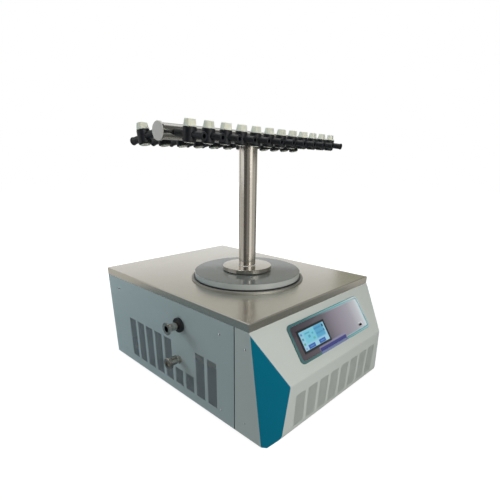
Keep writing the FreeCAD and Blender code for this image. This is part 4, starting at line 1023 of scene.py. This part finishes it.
def card(name, corners, faces, grey):
    """A matt glowing card that only mirror-like surfaces see."""
    mesh = bpy.data.meshes.new(name)
    mesh.from_pydata(corners, [], faces)
    flat = Finish(name, Base_Color=(0, 0, 0, 1), Roughness=1.0, Specular_IOR_Level=0.0,
                  Emission_Color=grey + (1,), Emission_Strength=1.0)
    mesh.materials.append(flat.material)
    item = placed(name, mesh)
    for ray in ("camera", "diffuse", "shadow", "transmission", "volume_scatter"):
        setattr(item, "visible_" + ray, False)
    cards.append(name)


def wall_card(name, first, last, low, high, grey, radius=1.15, step=6):
    """A strip of upright cylinder between two compass angles, counted from +X towards +Y."""
    steps = max(2, round((last - first) / step))
    angles = [math.radians(first + (last - first) * i / steps) for i in range(steps + 1)]
    corners = [(radius * math.cos(a), radius * math.sin(a), z) for a in angles for z in (low, high)]
    faces = [(2 * i, 2 * i + 1, 2 * i + 3, 2 * i + 2) for i in range(steps)]
    card(name, corners, faces, grey)


def level_card(name, x0, x1, y0, y1, z, grey):
    """A level rectangle at the height z."""
    card(name, [(x0, y0, z), (x1, y0, z), (x1, y1, z), (x0, y1, z)], [(0, 1, 2, 3)], grey)


# %% Walls, ceiling and floor patches
# Name, first and last angle, lower and upper edge in metres, brightness.
walls = [
    ("rear_left_wall", 86, 125, 0.0, 1.0, 0.6), ("left_sill", 125, 173, 0.0, 0.47, 0.56),
    ("dim_left_wall", 173, 213, 0.0, 1.3, 0.11), ("camera_side_wall", 213, 251, 0.0, 1.3, 0.27),
    ("front_window", 251, 281, 0.0, 1.3, 1.0), ("upper_left_wall", 86, 168, 1.0, 2.6, 0.36),
    ("front_right_wall", 281, 330, 0.0, 0.62, 0.57), ("right_wall", 330, 354, 0.0, 0.62, 0.28),
    ("right_dark", 281, 354, 0.62, 3.3, 0.13),
]
for name, first, last, low, high, level in walls:
    wall_card(name, first, last, low, high, (level, level * 0.97, level * 0.91))
wall_card("far_right_wall", -55, 24, 0.3, 2.4, (0.38, 0.375, 0.30), radius=2.3)
wall_card("far_rear_wall", 24, 80, 1.1, 3.2, (0.54, 0.53, 0.49), radius=3.0)
level_card("dark_ceiling", -1.2, 1.2, -1.2, 1.2, 3.3, (0.15, 0.15, 0.145))
level_card("floor_left", -1.6, -0.27, -0.5, 1.7, 0.004, (0.15, 0.195, 0.21))
level_card("floor_front", -0.2, 2.0, -1.9, -0.4, 0.004, (0.17, 0.175, 0.165))
print("cards:", len(cards))

# %% [markdown]
# ## World and floor
# The world lights the shaded sides with a dim blue-grey, and is white for the camera and for
# mirror-like rays. The floor is pale, a little dimmer than the backdrop so that it throws no
# strong light up the sides, and most of what the camera sees of it is plain white.

# %% World and floor
world = bpy.data.worlds.new("studio")
world.use_nodes = True
bpy.context.scene.world = world
sky = Graph(world.node_tree)
rays = sky.node("ShaderNodeLightPath", out="Is Camera Ray")
shiny = Wire(sky, rays.socket.node.outputs["Is Glossy Ray"])
clear = Wire(sky, rays.socket.node.outputs["Is Transmission Ray"])
seen_white = (rays + shiny + clear).at_most(1.0)
backdrop = sky.mix(seen_white, (0.07, 0.09, 0.105, 1), (1, 1, 1, 1))
sky.feed(world.node_tree.nodes["Background"].inputs["Color"], backdrop)

floor_mesh = bpy.data.meshes.new("floor")
floor_mesh.from_pydata([(-9, -9, 0), (9, -9, 0), (9, 9, 0), (-9, 9, 0)], [], [(0, 1, 2, 3)])
floor = placed("floor", floor_mesh)
ground = Finish("pale_floor", Roughness=0.7, Base_Color=(0.5, 0.5, 0.5, 1))
glow = ground.node("ShaderNodeEmission", sockets={"Color": (1, 1, 1, 1), "Strength": 1.35})
view_ray = ground.node("ShaderNodeLightPath", out="Is Camera Ray")
surface = Wire(ground, ground.shader.outputs[0])
x, y, _ = ground.axes()
away = (x * x + y * y).root()
# Close to the machine the camera still sees some of the floor itself, with its shadow.
plain = ground.soft(away, 0.6, 1.6, 0.7, 1.0)
cover = ground.node("ShaderNodeMixShader", sockets={0: view_ray * plain, 1: surface, 2: glow})
ground.feed(ground.tree.nodes["Material Output"].inputs["Surface"], cover)
floor_mesh.materials.append(ground.material)
print("studio ready")
